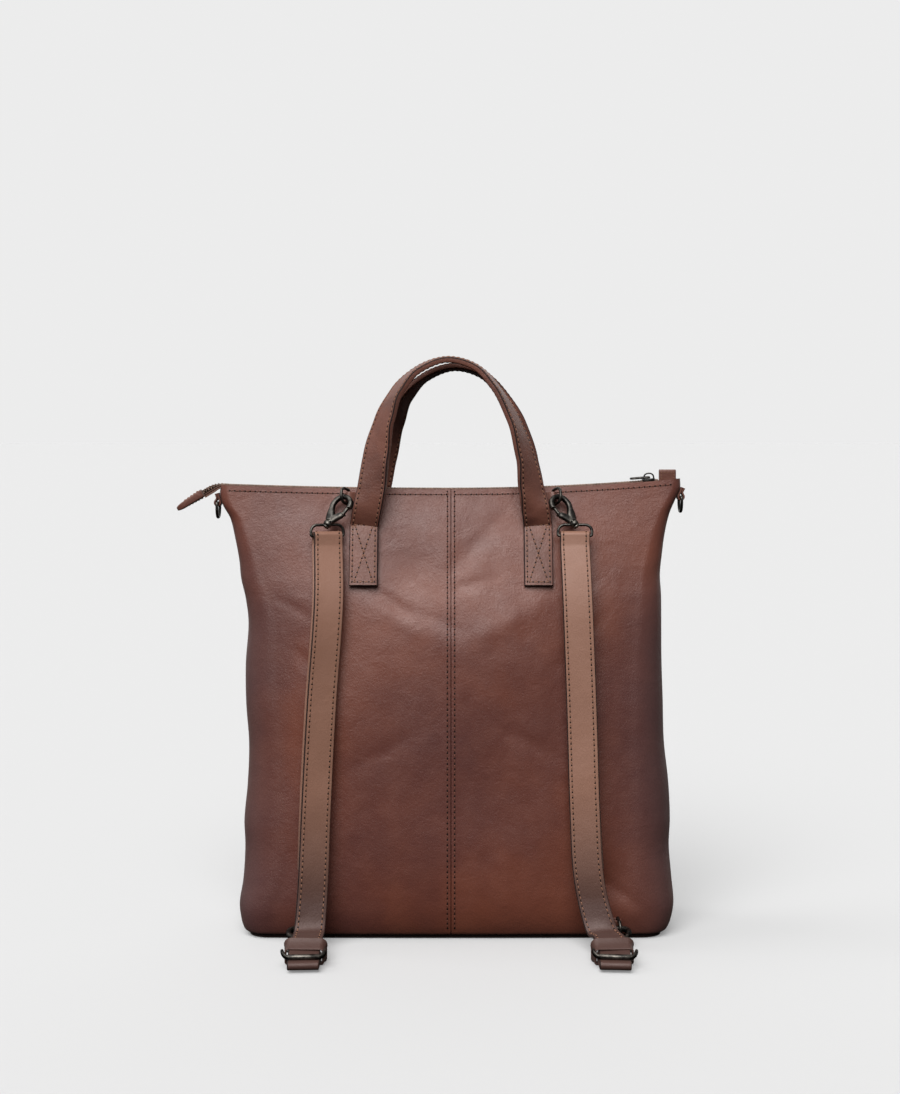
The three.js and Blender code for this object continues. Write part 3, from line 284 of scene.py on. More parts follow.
class GroupBuilder:
    """Helps to build a shader node group."""

    def __init__(self, name: str, inputs: dict[str, object], outputs: Sequence[str]) -> None:
        """Makes an empty group with its sockets.

        Args:
            name: the group's name.
            inputs: each input's first value, a colour or a number.
            outputs: its outputs' names.
        """
        self.tree = bpy.data.node_groups.new(name, "ShaderNodeTree")
        for label, value in inputs.items():
            kind = "NodeSocketColor" if isinstance(value, tuple) else "NodeSocketFloat"
            self.tree.interface.new_socket(label, in_out="INPUT", socket_type=kind).default_value = value
        for label in outputs:
            self.tree.interface.new_socket(label, in_out="OUTPUT", socket_type=OUTPUTS[label])
        self.start = self.tree.nodes.new("NodeGroupInput")
        self.end = self.tree.nodes.new("NodeGroupOutput")

    def node(self, kind: str, links: dict[str | int, object], **settings: object) -> Node:
        """Adds a node.

        Args:
            kind: the node's type.
            links: for each input, a socket to link or a value to set.
            settings: attributes to set on the node.

        Returns:
            The node.
        """
        made = self.tree.nodes.new(kind)
        for label, value in settings.items():
            setattr(made, label, value)
        for label, value in links.items():
            if isinstance(value, Socket):
                self.tree.links.new(value, made.inputs[label])
            else:
                made.inputs[label].default_value = value
        return made

    def math(self, operation: str, first: object, second: object = 0.0) -> Socket:
        """Adds a Math node."""
        return self.node("ShaderNodeMath", {0: first, 1: second}, operation=operation).outputs[0]

    def times(self, first: object, second: object) -> Socket:
        """Multiplies two numbers."""
        return self.math("MULTIPLY", first, second)

    def ramp(self, value: Socket, low: float, high: float) -> Socket:
        """Stretches a value so that low becomes 0 and high becomes 1, without going past them."""
        return self.node("ShaderNodeMapRange", {"Value": value, "From Min": low, "From Max": high}).outputs["Result"]

    def mix(self, share: object, first: object, second: object) -> Socket:
        """Mixes two colours."""
        return self.node("ShaderNodeMix", {0: share, 6: first, 7: second}, data_type="RGBA").outputs[2]

    def place(self) -> Socket:
        """Adds the place on the piece, in its own axes."""
        return self.node("ShaderNodeTexCoord", {}).outputs["Object"]

    def noise(self, scale: object, detail: float, **inputs: float) -> Socket:
        """Adds a noise over the place on the piece."""
        links = {"Vector": self.place(), "Scale": scale, "Detail": detail, **inputs}
        return self.node("ShaderNodeTexNoise", links).outputs["Fac"]

    def finish(self, **results: Socket) -> Tree:
        """Links the results to the group's outputs.

        Args:
            results: a socket for each output.

        Returns:
            The group's tree.
        """
        for label, socket in results.items():
            self.tree.links.new(socket, self.end.inputs[label])
        return self.tree


class Effects:
    """The shader effects that several finishes share."""

    def __init__(self) -> None:
        """Builds every effect once."""
        self.leather = self._leather()
        # painted shade near the floor
        self.foot = self._fade("Painted floor shade", self._foot_share)
        # painted shade on the bag's lower ends
        self.side_shade = self._fade("Painted side shade", self._flank_share)
        self.metal = self._metal()
        self.weave = self._weave()

    @staticmethod
    def _leather() -> Tree:
        """Pulled-up dye patches, fine pebbled grain and small wrinkles.

        Returns:
            The group's tree.
        """
        group = GroupBuilder(
            "Leather",
            {
                "Deep": (0.05, 0.02, 0.015, 1), "Mid": (0.13, 0.05, 0.03, 1), "Light": (0.2, 0.09, 0.06, 1),
                "Patch size": 0.07, "Grain": 0.16, "Polished": 0.4, "Dry": 0.58,
            },
            OUTPUTS,
        )
        given = group.start.outputs
        times = group.times
        patch = group.noise(group.math("DIVIDE", 1.0, given["Patch size"]), 3.0, Roughness=0.55)
        blotch = group.noise(55.0, 4.0, Roughness=0.6)
        pebble = group.noise(620.0, 2.0)
        wrinkle = group.noise(75.0, 2.0, Distortion=0.5)
        pores = group.node("ShaderNodeTexVoronoi", {"Vector": group.place(), "Scale": 1500.0}, feature="F1")
        base = group.mix(times(group.ramp(patch, 0.56, 0.28), 0.52), given["Mid"], given["Deep"])
        warm = group.mix(times(group.ramp(patch, 0.5, 0.8), 0.6), base, given["Light"])
        spotted = group.mix(times(group.ramp(blotch, 0.35, 0.75), 0.16), warm, given["Light"])
        fine = group.math("ADD", times(pebble, 0.9), times(group.ramp(pores.outputs["Distance"], 0.0, 0.4), 0.5))
        rubbed = group.mix(times(group.ramp(fine, 0.75, 0.35), 0.28), spotted, given["Deep"])
        span = {"From Min": 0.3, "From Max": 0.75, "To Min": given["Polished"], "To Max": given["Dry"]}
        rough = group.node("ShaderNodeMapRange", {"Value": group.math("ADD", times(blotch, 0.8), 0.1), **span})
        height = group.math("ADD", times(fine, 0.7), times(wrinkle, 1.5))
        bump = group.node("ShaderNodeBump", {"Strength": given["Grain"], "Distance": 0.001, "Height": height})
        return group.finish(Color=rubbed, Roughness=rough.outputs["Result"], Normal=bump.outputs["Normal"])

    @staticmethod
    def _fade(name: str, share_of: Callable[[GroupBuilder, Node], Socket]) -> Tree:
        """A painted shade: a change of tone by the place on the bag.

        Args:
            name: the group's name.
            share_of: makes the share of the new tone from a node with the place's X, Y and Z.

        Returns:
            The group's tree.
        """
        tones = {"Color": (0.18, 0.09, 0.06, 1), "Tone": (0.1, 0.04, 0.03, 1)}
        group = GroupBuilder(name, tones, ("Color",))
        share = share_of(group, group.node("ShaderNodeSeparateXYZ", {0: group.place()}))
        return group.finish(Color=group.mix(share, group.start.outputs["Color"], group.start.outputs["Tone"]))

    @staticmethod
    def _foot_share(group: GroupBuilder, place: Node) -> Socket:
        """How near the floor a place is, as the share of the painted shade there."""
        return group.times(group.ramp(place.outputs["Z"], 0.125, 0.035), 0.97)

    @staticmethod
    def _flank_share(group: GroupBuilder, place: Node) -> Socket:
        """How near the bag's ends a place is, below its shoulders, as the share of the painted shade there.

        Args:
            group: the group being built.
            place: the node with the place.

        Returns:
            The share.
        """
        out = group.ramp(group.math("ABSOLUTE", place.outputs["X"]), 0.125, 0.172)
        low = group.ramp(place.outputs["Z"], 0.31, 0.23)
        return group.times(group.times(out, low), 0.75)

    @staticmethod
    def _metal() -> Tree:
        """A dark skin that is worn through on the proud edges.

        Returns:
            The group's tree.
        """
        group = GroupBuilder(
            "Antique metal",
            {"Dark": (0.03, 0.028, 0.025, 1), "Bright": (0.3, 0.27, 0.23, 1), "Skin roughness": 0.36},
            OUTPUTS,
        )
        given = group.start.outputs
        edge = group.node("ShaderNodeNewGeometry", {}).outputs["Pointiness"]
        cloud = group.noise(260.0, 3.0)
        worn = group.times(group.ramp(edge, 0.5, 0.62), group.ramp(cloud, 0.3, 0.62))
        tone = group.math("ADD", worn, group.times(group.ramp(cloud, 0.42, 0.72), 0.25))
        shade = group.node("ShaderNodeClamp", {"Value": tone})
        color = group.mix(shade.outputs[0], given["Dark"], given["Bright"])
        rough = group.math("ADD", given["Skin roughness"], group.times(cloud, 0.12))
        bump = group.node("ShaderNodeBump", {"Strength": 0.12, "Distance": 0.0003, "Height": cloud})
        return group.finish(Color=color, Roughness=rough, Normal=bump.outputs["Normal"])

    @staticmethod
    def _weave() -> Tree:
        """Fine strands that cross.

        Returns:
            The group's tree.
        """
        group = GroupBuilder(
            "Weave",
            {"Dark": (0.05, 0.03, 0.02, 1), "Light": (0.3, 0.2, 0.13, 1), "Strand": 0.0004},
            ("Color", "Normal"),
        )
        given = group.start.outputs
        scale = group.math("DIVIDE", 0.16, given["Strand"])
        links = {"Vector": group.place(), "Scale": scale, "Distortion": 0.6}
        across = group.node("ShaderNodeTexWave", links)
        along = group.node("ShaderNodeTexWave", links, bands_direction="DIAGONAL")
        height = group.times(across.outputs["Fac"], along.outputs["Fac"])
        color = group.mix(height, given["Dark"], given["Light"])
        bump = group.node("ShaderNodeBump", {"Strength": 0.35, "Distance": 0.0002, "Height": height})
        return group.finish(Color=color, Normal=bump.outputs["Normal"])


class Palette:
    """Every material of the bag."""

    def __init__(self) -> None:
        """Builds the materials."""
        effects = Effects()
        self.body = LeatherFinish(
            "Body leather", (0.048, 0.018, 0.02), (0.104, 0.03, 0.0195), (0.175, 0.05, 0.024), 0.36, 0.52, 0.12, 0.34,
            # painted shade on the lower ends, where the curved leather turns from the light
            side_shade=(0.052, 0.026, 0.028),
        ).build(effects)
        self.trim = LeatherFinish(
            "Trim leather", (0.05, 0.02, 0.016), (0.118, 0.041, 0.027), (0.165, 0.065, 0.043), 0.38, 0.54, 0.03, 0.36
        ).build(effects)
        # a lighter tan than the body, partly the strap's own colour and partly painted sheen
        self.strap = LeatherFinish(
            "Strap leather", (0.165, 0.076, 0.047), (0.22, 0.107, 0.07), (0.245, 0.128, 0.09), 0.5, 0.64, 0.05, 0.26,
            # painted shade on the straps near the floor
            foot=(0.042, 0.017, 0.013),
        ).build(effects)
        # dark dyed cut edges; on the base it is painted contact shadow
        self.edge = LeatherFinish(
            "Cut edge", (0.008, 0.005, 0.005), (0.014, 0.008, 0.007), (0.022, 0.013, 0.012), 0.5, 0.7, 0.02, 0.2,
            coat=0.0, shine=0.15,
        ).build(effects)
        self.metal = MetalFinish("Antique gunmetal", (0.022, 0.021, 0.02), (0.17, 0.155, 0.135)).build(effects)
        self.thread = ThreadFinish("Thread", (0.16, 0.075, 0.045), (0.36, 0.19, 0.125)).build(effects)
        self.seam_thread = ThreadFinish("Seam thread", (0.08, 0.03, 0.02), (0.21, 0.085, 0.055)).build(effects)
        # near-black needle-hole discs: painted shade inside the holes
        self.hole = ThreadFinish("Needle hole", (0.006, 0.003, 0.002), (0.014, 0.006, 0.005)).build(effects)
        self.teeth = MetalFinish("Zip bronze", (0.05, 0.034, 0.026), (0.15, 0.1, 0.078), 0.5).build(effects)
        self.tape = ThreadFinish("Zip tape", (0.075, 0.04, 0.03), (0.19, 0.1, 0.078), 0.0007).build(effects)


# Curves and frames


@dataclass
class Frame:
    """A place with its axes: across the strip, out of its face and along its path."""

    at: Vector
    across: Vector
    out: Vector
    along: Vector

    def point(self, across: float = 0.0, out: float = 0.0, along: float = 0.0) -> Vector:
        """A point given in this frame."""
        return self.at + self.across * across + self.out * out + self.along * along

    def row(self, outline: Outline) -> list[Vector]:
        """The points of an outline placed here."""
        return [self.point(a, o) for a, o in outline]

    def moved(self, across: float = 0.0, out: float = 0.0, along: float = 0.0) -> "Frame":
        """This frame at another place given in it."""
        return Frame(self.point(across, out, along), self.across, self.out, self.along)


def square_to(v: Vector, axis: Vector) -> Vector:
    """The part of v that is square to axis, at length 1."""
    return (v - axis * v.dot(axis)).normalized()


def mix(a: float, b: float, share: float) -> float:
    """A value between a and b."""
    return a + (b - a) * share


class Spline:
    """A smooth curve through points, with spans spaced by the root of their length."""

    def __init__(self, points: Line) -> None:
        """Keeps the points."""
        self.points = [p.copy() for p in points]

    def at(self, t: float) -> Vector:
        """A point of the curve.

        Args:
            t: from 0 to 1, in equal steps from point to point.

        Returns:
            The point.
        """
        pts = self.points
        last = len(pts) - 1
        place = last * min(max(t, 0.0), 1.0)
        i = min(int(place), last - 1)
        w = place - i
        before = pts[i - 1] if i > 0 else pts[0] * 2 - pts[1]
        after = pts[i + 2] if i + 2 <= last else pts[last] * 2 - pts[last - 1]
        run = [before, pts[i], pts[i + 1], after]
        steps = [max((run[k + 1] - run[k]).length, 1e-6) ** 0.5 for k in range(3)]
        d0, d1, d2 = steps
        t1 = ((run[1] - run[0]) / d0 - (run[2] - run[0]) / (d0 + d1) + (run[2] - run[1]) / d1) * d1
        t2 = ((run[2] - run[1]) / d1 - (run[3] - run[1]) / (d1 + d2) + (run[3] - run[2]) / d2) * d1
        c2 = run[1] * -3 + run[2] * 3 - t1 * 2 - t2
        c3 = run[1] * 2 - run[2] * 2 + t1 + t2
        return run[1] + t1 * w + c2 * w * w + c3 * w**3

    def spaced(self, count: int) -> list[Vector]:
        """Points at equal distances along the curve."""
        fine = [self.at(i / (8 * count)) for i in range(8 * count + 1)]
        return even_points(fine, count)


def even_points(points: Line, count: int) -> list[Vector]:
    """Points at equal distances along a line of points.

    Args:
        points: the line.
        count: number of steps.

    Returns:
        count + 1 points.
    """
    reach = [0.0]
    for a, b in zip(points, points[1:]):
        reach.append(reach[-1] + (b - a).length)
    made, k = [], 0
    for i in range(count + 1):
        goal = reach[-1] * i / count
        while k < len(points) - 2 and reach[k + 1] < goal:
            k += 1
        span = reach[k + 1] - reach[k]
        made.append(points[k].lerp(points[k + 1], (goal - reach[k]) / span if span else 0.0))
    return made


def line_length(points: Line) -> float:
    """Length of a line of points."""
    return sum((b - a).length for a, b in zip(points, points[1:]))


def frames_along(points: Line, face_of: Callable[[int], Vector], loop: bool = False) -> list[Frame]:
    """Frames along a path.

    Args:
        points: the path.
        face_of: gives the way that the face looks at a point.
        loop: whether the path closes on itself.

    Returns:
        A frame for each point.
    """
    last = len(points) - 1
    made = []
    for i, at in enumerate(points):
        before = points[(i - 1) % len(points)] if loop else points[max(0, i - 1)]
        after = points[(i + 1) % len(points)] if loop else points[min(last, i + 1)]
        along = (after - before).normalized()
        out = square_to(face_of(i), along)
        made.append(Frame(at.copy(), out.cross(along), out, along))
    return made


def circle_outline(radius: float, sides: int) -> list[tuple[float, float]]:
    """A round section."""
    angles = [2 * pi * i / sides for i in range(sides)]
    return [(radius * cos(a), radius * sin(a)) for a in angles]


def strip_outline(width: float, thickness: float, crown: float = 0.0, steps: int = 12) -> list[tuple[float, float]]:
    """The section of a leather strip with softened edges and a slightly swollen face.

    Args:
        width: its width.
        thickness: its thickness.
        crown: how much the face swells in its middle.
        steps: points across the face.

    Returns:
        Its outline.
    """
    w, t = width / 2, thickness / 2
    r = min(0.42 * thickness, 0.9)
    turns = [radians(90 / BEVEL * k) for k in range(BEVEL + 1)]
    bevel = [(w - r + r * sin(a), t - r + r * cos(a)) for a in turns]
    face = [(x, t + crown * (1 - (x / w) ** 2)) for x in (mix(-w + r, w - r, i / steps) for i in range(1, steps))]
    top = [(-x, y) for x, y in reversed(bevel)] + face + bevel
    bottom = [(x, -y) for x, y in reversed(bevel)] + [(-x, -y) for x, y in bevel]
    return top + bottom


class MeshMaker:
    """Collects the faces of one piece, in millimetres."""

    def __init__(self) -> None:
        """Starts empty."""
        self.points: list[Vector] = []
        self.faces: list[tuple[int, ...]] = []
        self.slots: list[int] = []

    def add_points(self, points: Iterable[Vector]) -> int:
        """Adds points.

        Args:
            points: the points.

        Returns:
            The index of the first.
        """
        first = len(self.points)
        self.points.extend(points)
        return first

    def add_face(self, *corners: int, slot: int = 0) -> None:
        """Adds a face."""
        self.faces.append(tuple(corners))
        self.slots.append(slot)

    def grid(self, rows: Sequence[Line], loop: bool = False, slot: int = 0) -> list[list[int]]:
        """Joins rows of points that all have the same count.

        Args:
            rows: the rows.
            loop: whether each row closes on itself.
            slot: index of the material.

        Returns:
            The indices of the points.
        """
        width = len(rows[0])
        index = []
        for row in rows:
            first = self.add_points(row)
            index.append(list(range(first, first + width)))
        for low, high in zip(index, index[1:]):
            for j in range(width if loop else width - 1):
                k = (j + 1) % width
                self.add_face(low[j], low[k], high[k], high[j], slot=slot)
        return index

    def solid(self, rows: Sequence[Line]) -> None:
        """Joins closed rows of points and closes both ends.

        Args:
            rows: the rows.
        """
        index = self.grid(rows, loop=True)
        self.add_face(*reversed(index[0]))
        self.add_face(*index[-1])

    def sweep(
        self,
        frames: Sequence[Frame],
        outline: Outline,
        loop: bool = False,
        slot_of: Callable[[int], int] = lambda _: 0,
        scale_of: Callable[[int], float] = lambda _: 1.0,
    ) -> None:
        """Sweeps an outline through frames and closes its ends.

        Args:
            frames: where the outline goes.
            outline: the section, as across and out.
            loop: whether the path closes on itself.
            slot_of: gives the material of each side of the outline.
            scale_of: gives the size of the outline at each frame.
        """
        sides = len(outline)
        first = len(self.points)
        for i, frame in enumerate(frames):
            size = scale_of(i)
            self.add_points(frame.point(a * size, o * size) for a, o in outline)
        count = len(frames)
        for i in range(count if loop else count - 1):
            a, b = first + i * sides, first + ((i + 1) % count) * sides
            for j in range(sides):
                k = (j + 1) % sides
                self.add_face(a + j, a + k, b + k, b + j, slot=slot_of(j))
        if not loop:
            end = first + (count - 1) * sides
            self.add_face(*range(first + sides - 1, first - 1, -1), slot=slot_of(0))
            self.add_face(*range(end, end + sides), slot=slot_of(0))

    def metal(self, paint: "Palette", node: str, body: str = "bag") -> None:
        """Makes the metal piece that stands for a node."""
        self.build(f"{node}_metal", [paint.metal], "antique_metal", [node], body)

    def leather(self, materials: Sequence[Material], slot: str, node: str) -> None:
        """Makes the leather piece that stands for a node."""
        self.build(f"{node}_leather", materials, slot, [node])

    def sweep_strip(self, frames: Sequence[Frame], outline: Outline, last: int) -> None:
        """Sweeps a leather strip whose cut edges have the second material."""
        back = len(outline) - 2 * BEVEL - 1
        self.sweep(frames, outline, slot_of=lambda j: 0 if BEVEL <= j <= last or j > back else 1)

    def build(
        self,
        name: str,
        materials: Sequence[Material],
        slot: str,
        replaces: Sequence[str] = (),
        body: str = "bag",
    ) -> None:
        """Makes the piece.

        Args:
            name: its name.
            materials: its materials.
            slot: the record's material slot.
            replaces: the frame's nodes that it stands for.
            body: the frame's body that it rides on.
        """
        mesh = bpy.data.meshes.new(name)
        mesh.from_pydata([p * MM for p in self.points], [], self.faces)
        for mat in materials:
            mesh.materials.append(mat)
        for face, index in zip(mesh.polygons, self.slots):
            face.material_index = index
        tidy_mesh(mesh)
        obj = bpy.data.objects.new(name, mesh)
        bpy.context.scene.collection.objects.link(obj)
        dress(obj, slot, replaces, body)


def tidy_mesh(mesh: bpy.types.Mesh) -> None:
    """Makes a mesh's faces point outward and shades it smooth but for its sharp edges.

    Args:
        mesh: the mesh.
    """
    work = bmesh.new()
    work.from_mesh(mesh)
    bmesh.ops.remove_doubles(work, verts=work.verts, dist=MERGE)
    bmesh.ops.recalc_face_normals(work, faces=work.faces)
    work.to_mesh(mesh)
    work.free()
    mesh.shade_smooth()
    mesh.set_sharp_from_angle(angle=radians(SHARP_ANGLE))


def dress(obj: bpy.types.Object, slot: str, replaces: Sequence[str], body: str) -> None:
    """Fastens a piece to the frame.

    Args:
        obj: the piece.
        slot: the record's material slot; not used.
        replaces: the frame's nodes that it stands for.
        body: the frame's body that it rides on.
    """
    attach(obj, body)
    if replaces:
        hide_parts(*replaces)
    LOG.info("%s: %d faces", obj.name, len(obj.data.polygons))


@dataclass(frozen=True)
class Stitching:
    """A row of stitches: thread lying between holes that it pulls down into.

    Args:
        pitch: from hole to hole.
        share: of the pitch that the thread spans.
        radius: of the thread.
        lift: of the thread's middle above the leather.
        slant: of each stitch off the row, in degrees.
        hole: radius of a needle hole.
    """

    pitch: float = 4.3
    share: float = 0.62
    radius: float = 0.46
    lift: float = 0.1
    slant: float = 8.0
    hole: float = 0.72

    def sew(self, maker: MeshMaker, line: Line, normals: Line) -> None:
        """Adds a row of stitches.

        Args:
            maker: where the stitches go.
            line: the row's path on the leather.
            normals: the way out of the leather at each point.
        """
        total = line_length(line)
        count = max(1, round(total / self.pitch))
        nodes = even_points(line, 2 * count)
        ways = even_points(normals, 2 * count) if len(normals) == len(line) else [normals[0]] * (2 * count + 1)
        tilt = radians(self.slant)
        for i in range(count):
            a, middle, b = nodes[2 * i], nodes[2 * i + 1], nodes[2 * i + 2]
            out = ways[2 * i + 1].normalized()
            along = (b - a).normalized()
            out = square_to(out, along)
            side = out.cross(along)
            way = along * cos(tilt) + side * sin(tilt)
            half = self.share * (b - a).length / 2
            rows = []
            for share in (-1.0, -0.72, 0.0, 0.72, 1.0):
                at = middle + way * (half * share) + out * (self.lift - 0.4 * self.radius * share * share)
                size = self.radius * (0.35 if abs(share) == 1 else 1.0)
                ring = Frame(at, out.cross(way), out, way)
                rows.append([ring.point(a, b) for a, b in circle_outline(size, 6)])
            maker.solid(rows)


def holes_along(
    maker: MeshMaker, line: Line, normals: Line, pitch: float, radius: float
) -> None:
    """Adds the needle holes at the ends of a row's stitches, as small flat discs just proud of the leather, coloured
    near-black as painted shade inside the holes.

    Args:
        maker: where the holes go.
        line: the row's path on the leather.
        normals: the way out of the leather at each point.
        pitch: from hole to hole.
        radius: of a hole.
    """
    count = max(1, round(line_length(line) / pitch))
    nodes = even_points(line, count)
    ways = even_points(normals, count) if len(normals) == len(line) else [normals[0]] * (count + 1)
    for i, at in enumerate(nodes):
        along = (nodes[min(i + 1, count)] - nodes[max(i - 1, 0)]).normalized()
        out = square_to(ways[i].normalized(), along)
        hole = Frame(at, out.cross(along), out, along)
        rows = [[hole.point(b, up, 1.1 * a) for a, b in circle_outline(radius, 8)] for up in (-0.3, 0.12)]
        maker.solid(rows)


class Seam:
    """The stitches of one piece: their thread and the needle holes at their ends."""

    def __init__(self, stitch: Stitching) -> None:
        """Starts empty."""
        self.stitch = stitch
        self.thread, self.holes = MeshMaker(), MeshMaker()

    def sew(self, line: Line, normals: Line) -> None:
        """Adds a row."""
        self.stitch.sew(self.thread, line, normals)
        holes_along(self.holes, line, normals, self.stitch.pitch, self.stitch.hole)

    def build(self, name: str, slot: str, thread: Material, hole: Material) -> None:
        """Makes the thread and the holes."""
        self.thread.build(f"{name}_stitches", [thread], slot)
        self.holes.build(f"{name}_stitch_holes", [hole], slot)


# The bag


@dataclass(frozen=True)
class Section:
    """An upright section of the bag, as shares of its sizes."""

    up: float
    left: float
    right: float
    deep: float
    crown: float
    round: float


@dataclass(frozen=True)
class Dent:
    """A soft hollow or swelling of a face: its place and reach as shares, and its push in millimetres."""

    x: float
    up: float
    wide: float
    tall: float
    push: float
    lean: float = 0.0


@dataclass
class TotePanels:
    """The sewn leather body: two back panels, a front panel and a base."""

    paint: Palette
    height: float = 360.0
    half_width: float = 191.0
    half_depth: float = 53.0
    crown: float = 13.0
    corner: float = 34.0
    leather: float = 2.0
    seam_gap: float = 0.4
    seam_width: float = 0.6
    foot_roll: float = 3.0
    foot_gap: float = 3.0
    left_rise: float = 3.5
    right_rise: float = 9.0
    face_steps: int = 84
    corner_steps: int = 14
    side_steps: int = 7
    rows: int = 130
    seam_dip: float = 0.1
    seam_row: float = 2.9
    hem: float = 4.2
    push: float = 1.5  # strength of all dents and folds
    drift: float = 1.3  # height of the broad unevenness
    ripple: float = 0.55  # height of the finer one
    # rows of: height; half widths to the left and right; half depth, crown and corner radius
    sections: tuple[Section, ...] = rows_of(Section, (
        (0, 0.862, 0.895, 0.85, 0.08, 0.5),
        (0.012, 0.877, 0.915, 0.905, 0.08, 0.56),
        (0.035, 0.892, 0.935, 0.96, 0.15, 0.66),
        (0.07, 0.9, 0.948, 1, 0.23, 0.78),
        (0.12, 0.887, 0.942, 1, 0.38, 0.9),
        (0.19, 0.882, 0.934, 0.96, 0.62, 1),
        (0.25, 0.887, 0.94, 0.925, 0.77, 1),
        (0.33, 0.874, 0.934, 0.87, 0.92, 0.97),
        (0.42, 0.869, 0.916, 0.81, 1, 0.91),
        (0.51, 0.882, 0.912, 0.755, 1, 0.85),
        (0.6, 0.885, 0.908, 0.68, 1, 0.79),
        (0.69, 0.874, 0.908, 0.605, 0.92, 0.71),
        (0.745, 0.887, 0.908, 0.54, 0.85, 0.65),
        (0.79, 0.908, 0.904, 0.47, 0.73, 0.59),
        (0.83, 0.916, 0.912, 0.405, 0.62, 0.5),
        (0.88, 0.935, 0.926, 0.33, 0.46, 0.43),
        (0.925, 0.957, 0.948, 0.255, 0.31, 0.35),
        (0.955, 0.99, 0.974, 0.208, 0.19, 0.29),
        (0.98, 1.003, 0.995, 0.174, 0.08, 0.26),
        (1, 1, 0.995, 0.151, 0, 0.23),
    ))
    # rows of: place across and up; reach across and up; push; for a fold also its lean
    dents: tuple[Dent, ...] = rows_of(Dent, (
        (-0.18, 0.8, 0.16, 0.09, -2.1),
        (0.2, 0.62, 0.2, 0.1, 1.8),
        (-0.5, 0.52, 0.16, 0.14, 1.6),
        (0.72, 0.13, 0.12, 0.045, -2.9),
        (-0.74, 0.16, 0.1, 0.06, -2.3),
        (0.1, 0.3, 0.26, 0.12, -1.8),
    ))
    folds: tuple[Dent, ...] = rows_of(Dent, (
        (0.78, 0.085, 0.16, 0.016, -1.5, -0.3),
        (-0.84, 0.07, 0.1, 0.014, -0.9, 0.35),
        (0.1, 0.79, 0.1, 0.012, -0.5, 0.15),
        (-0.12, 0.72, 0.12, 0.014, -0.5, -0.2),
        (0.56, 0.66, 0.1, 0.016, -0.6, 0.5),
        (-0.62, 0.62, 0.08, 0.016, -0.6, -0.4),
        (-0.28, 0.42, 0.16, 0.02, -0.5, 0.3),
        (0.32, 0.44, 0.14, 0.018, -0.5, -0.25),
        (0.9, 0.3, 0.06, 0.02, -1.0, 0.6),
        (-0.72, 0.745, 0.12, 0.012, -0.9, -0.25),
        (-0.25, 0.745, 0.15, 0.02, -1.1, -0.35),
        (-0.14, 0.7, 0.16, 0.03, 0.8, -0.3),
        (0.22, 0.7, 0.16, 0.03, 0.9, 0.25),
        (0.46, 0.86, 0.12, 0.02, -0.7, -0.3),
        (-0.46, 0.9, 0.1, 0.015, -0.5, 0.3),
        (0.12, 0.88, 0.12, 0.03, -0.7, 0.5),
        (-0.88, 0.34, 0.05, 0.02, -0.9, -0.5),
    ))

    def top(self, x: float) -> float:
        """Height of the top edge."""
        rise = self.left_rise if x < 0 else self.right_rise
        return self.height + rise * (x / self.half_width) ** 2

    def find(self, up: float) -> tuple[int, float]:
        """Finds the sections round a height.

        Args:
            up: share of the height.

        Returns:
            The index of the one above, and how near it is.
        """
        rows = self.sections
        i = 1
        while i < len(rows) - 1 and rows[i].up < up:
            i += 1
        return i, min(max((up - rows[i - 1].up) / (rows[i].up - rows[i - 1].up), 0.0), 1.0)

    def straight_half(self, side: Side, up: float) -> float:
        """The bag's half width at a height, straight from section to section as the frame's solids are.

        Args:
            side: which end.
            up: share of the height.

        Returns:
            The half width.
        """
        i, share = self.find(up)
        low, high = (getattr(row, side.label) for row in self.sections[i - 1 : i + 1])
        return self.half_width * mix(low, high, share)

    def section(self, up: float, inset: float = 0.0) -> dict[str, float]:
        """The bag's section at a share of the height.

        Args:
            up: the share.
            inset: how far inside the outer face.

        Returns:
            Its half widths, half depth, crown and corner radius.
        """
        rows = self.sections
        i, share = self.find(up)

        def column(name: str) -> float:
            """One column's value on its smooth curve."""
            values = [getattr(r, name) for r in rows]

            def slope(a: int, b: int) -> float:
                """The curve's slope from one section to another."""
                return (values[b] - values[a]) / (rows[b].up - rows[a].up)

            gap, s2, s3 = rows[i].up - rows[i - 1].up, share * share, share**3
            return (
                (2 * s3 - 3 * s2 + 1) * values[i - 1]
                + (s3 - 2 * s2 + share) * gap * slope(max(0, i - 2), i)
                + (3 * s2 - 2 * s3) * values[i]
                + (s3 - s2) * gap * slope(i - 1, min(len(rows) - 1, i + 1))
            )

        deep = self.half_depth * column("deep")
        return {
            "left": self.half_width * column("left") - inset,
            "right": self.half_width * column("right") - inset,
            "deep": deep - inset,
            "crown": self.crown * column("crown"),
            "radius": min(self.corner * column("round"), deep - 0.1) - inset,
        }

    def dented(self, x: float, up: float, facing: Facing) -> float:
        """How far the broad dents push a face out.

        Args:
            x: place along the face.
            up: share of the height.
            facing: which face.

        Returns:
            The push outward.
        """
        across = x / self.half_width
        if facing is Facing.FRONT:
            return 0.0
        return sum(
            d.push * exp(-(((across - d.x) / d.wide) ** 2) - ((up - d.up) / d.tall) ** 2) for d in self.dents
        )

    def relief(self, x: float, up: float, facing: Facing) -> float:
        """How far the leather is pushed out of its smooth shape.

        Args:
            x: place along the face.
            up: share of the height.
            facing: which face.

        Returns:
            The push outward.
        """
        across = x / self.half_width
        flip = 1.0 if facing is Facing.BACK else -1.0
        push = self.dented(x, up, facing)
        for d in self.folds:
            u, v = flip * across - d.x, up - d.up
            v -= d.lean * u
            push += d.push * exp(-((u / d.wide) ** 2) - (v / d.tall) ** 2)
        drift = self.drift * noise.noise(Vector((across * 4.2, up * 3.4, 7.3 * flip)))
        ripple = self.ripple * noise.noise(Vector((across * 11.0, up * 7.0, 3.1 * flip + 5)))
        calm = min(1.0, 6 * up, 7 * (1 - up) + 0.12)  # the foot and the hem are even
        return self.push * push + calm * (drift + ripple)

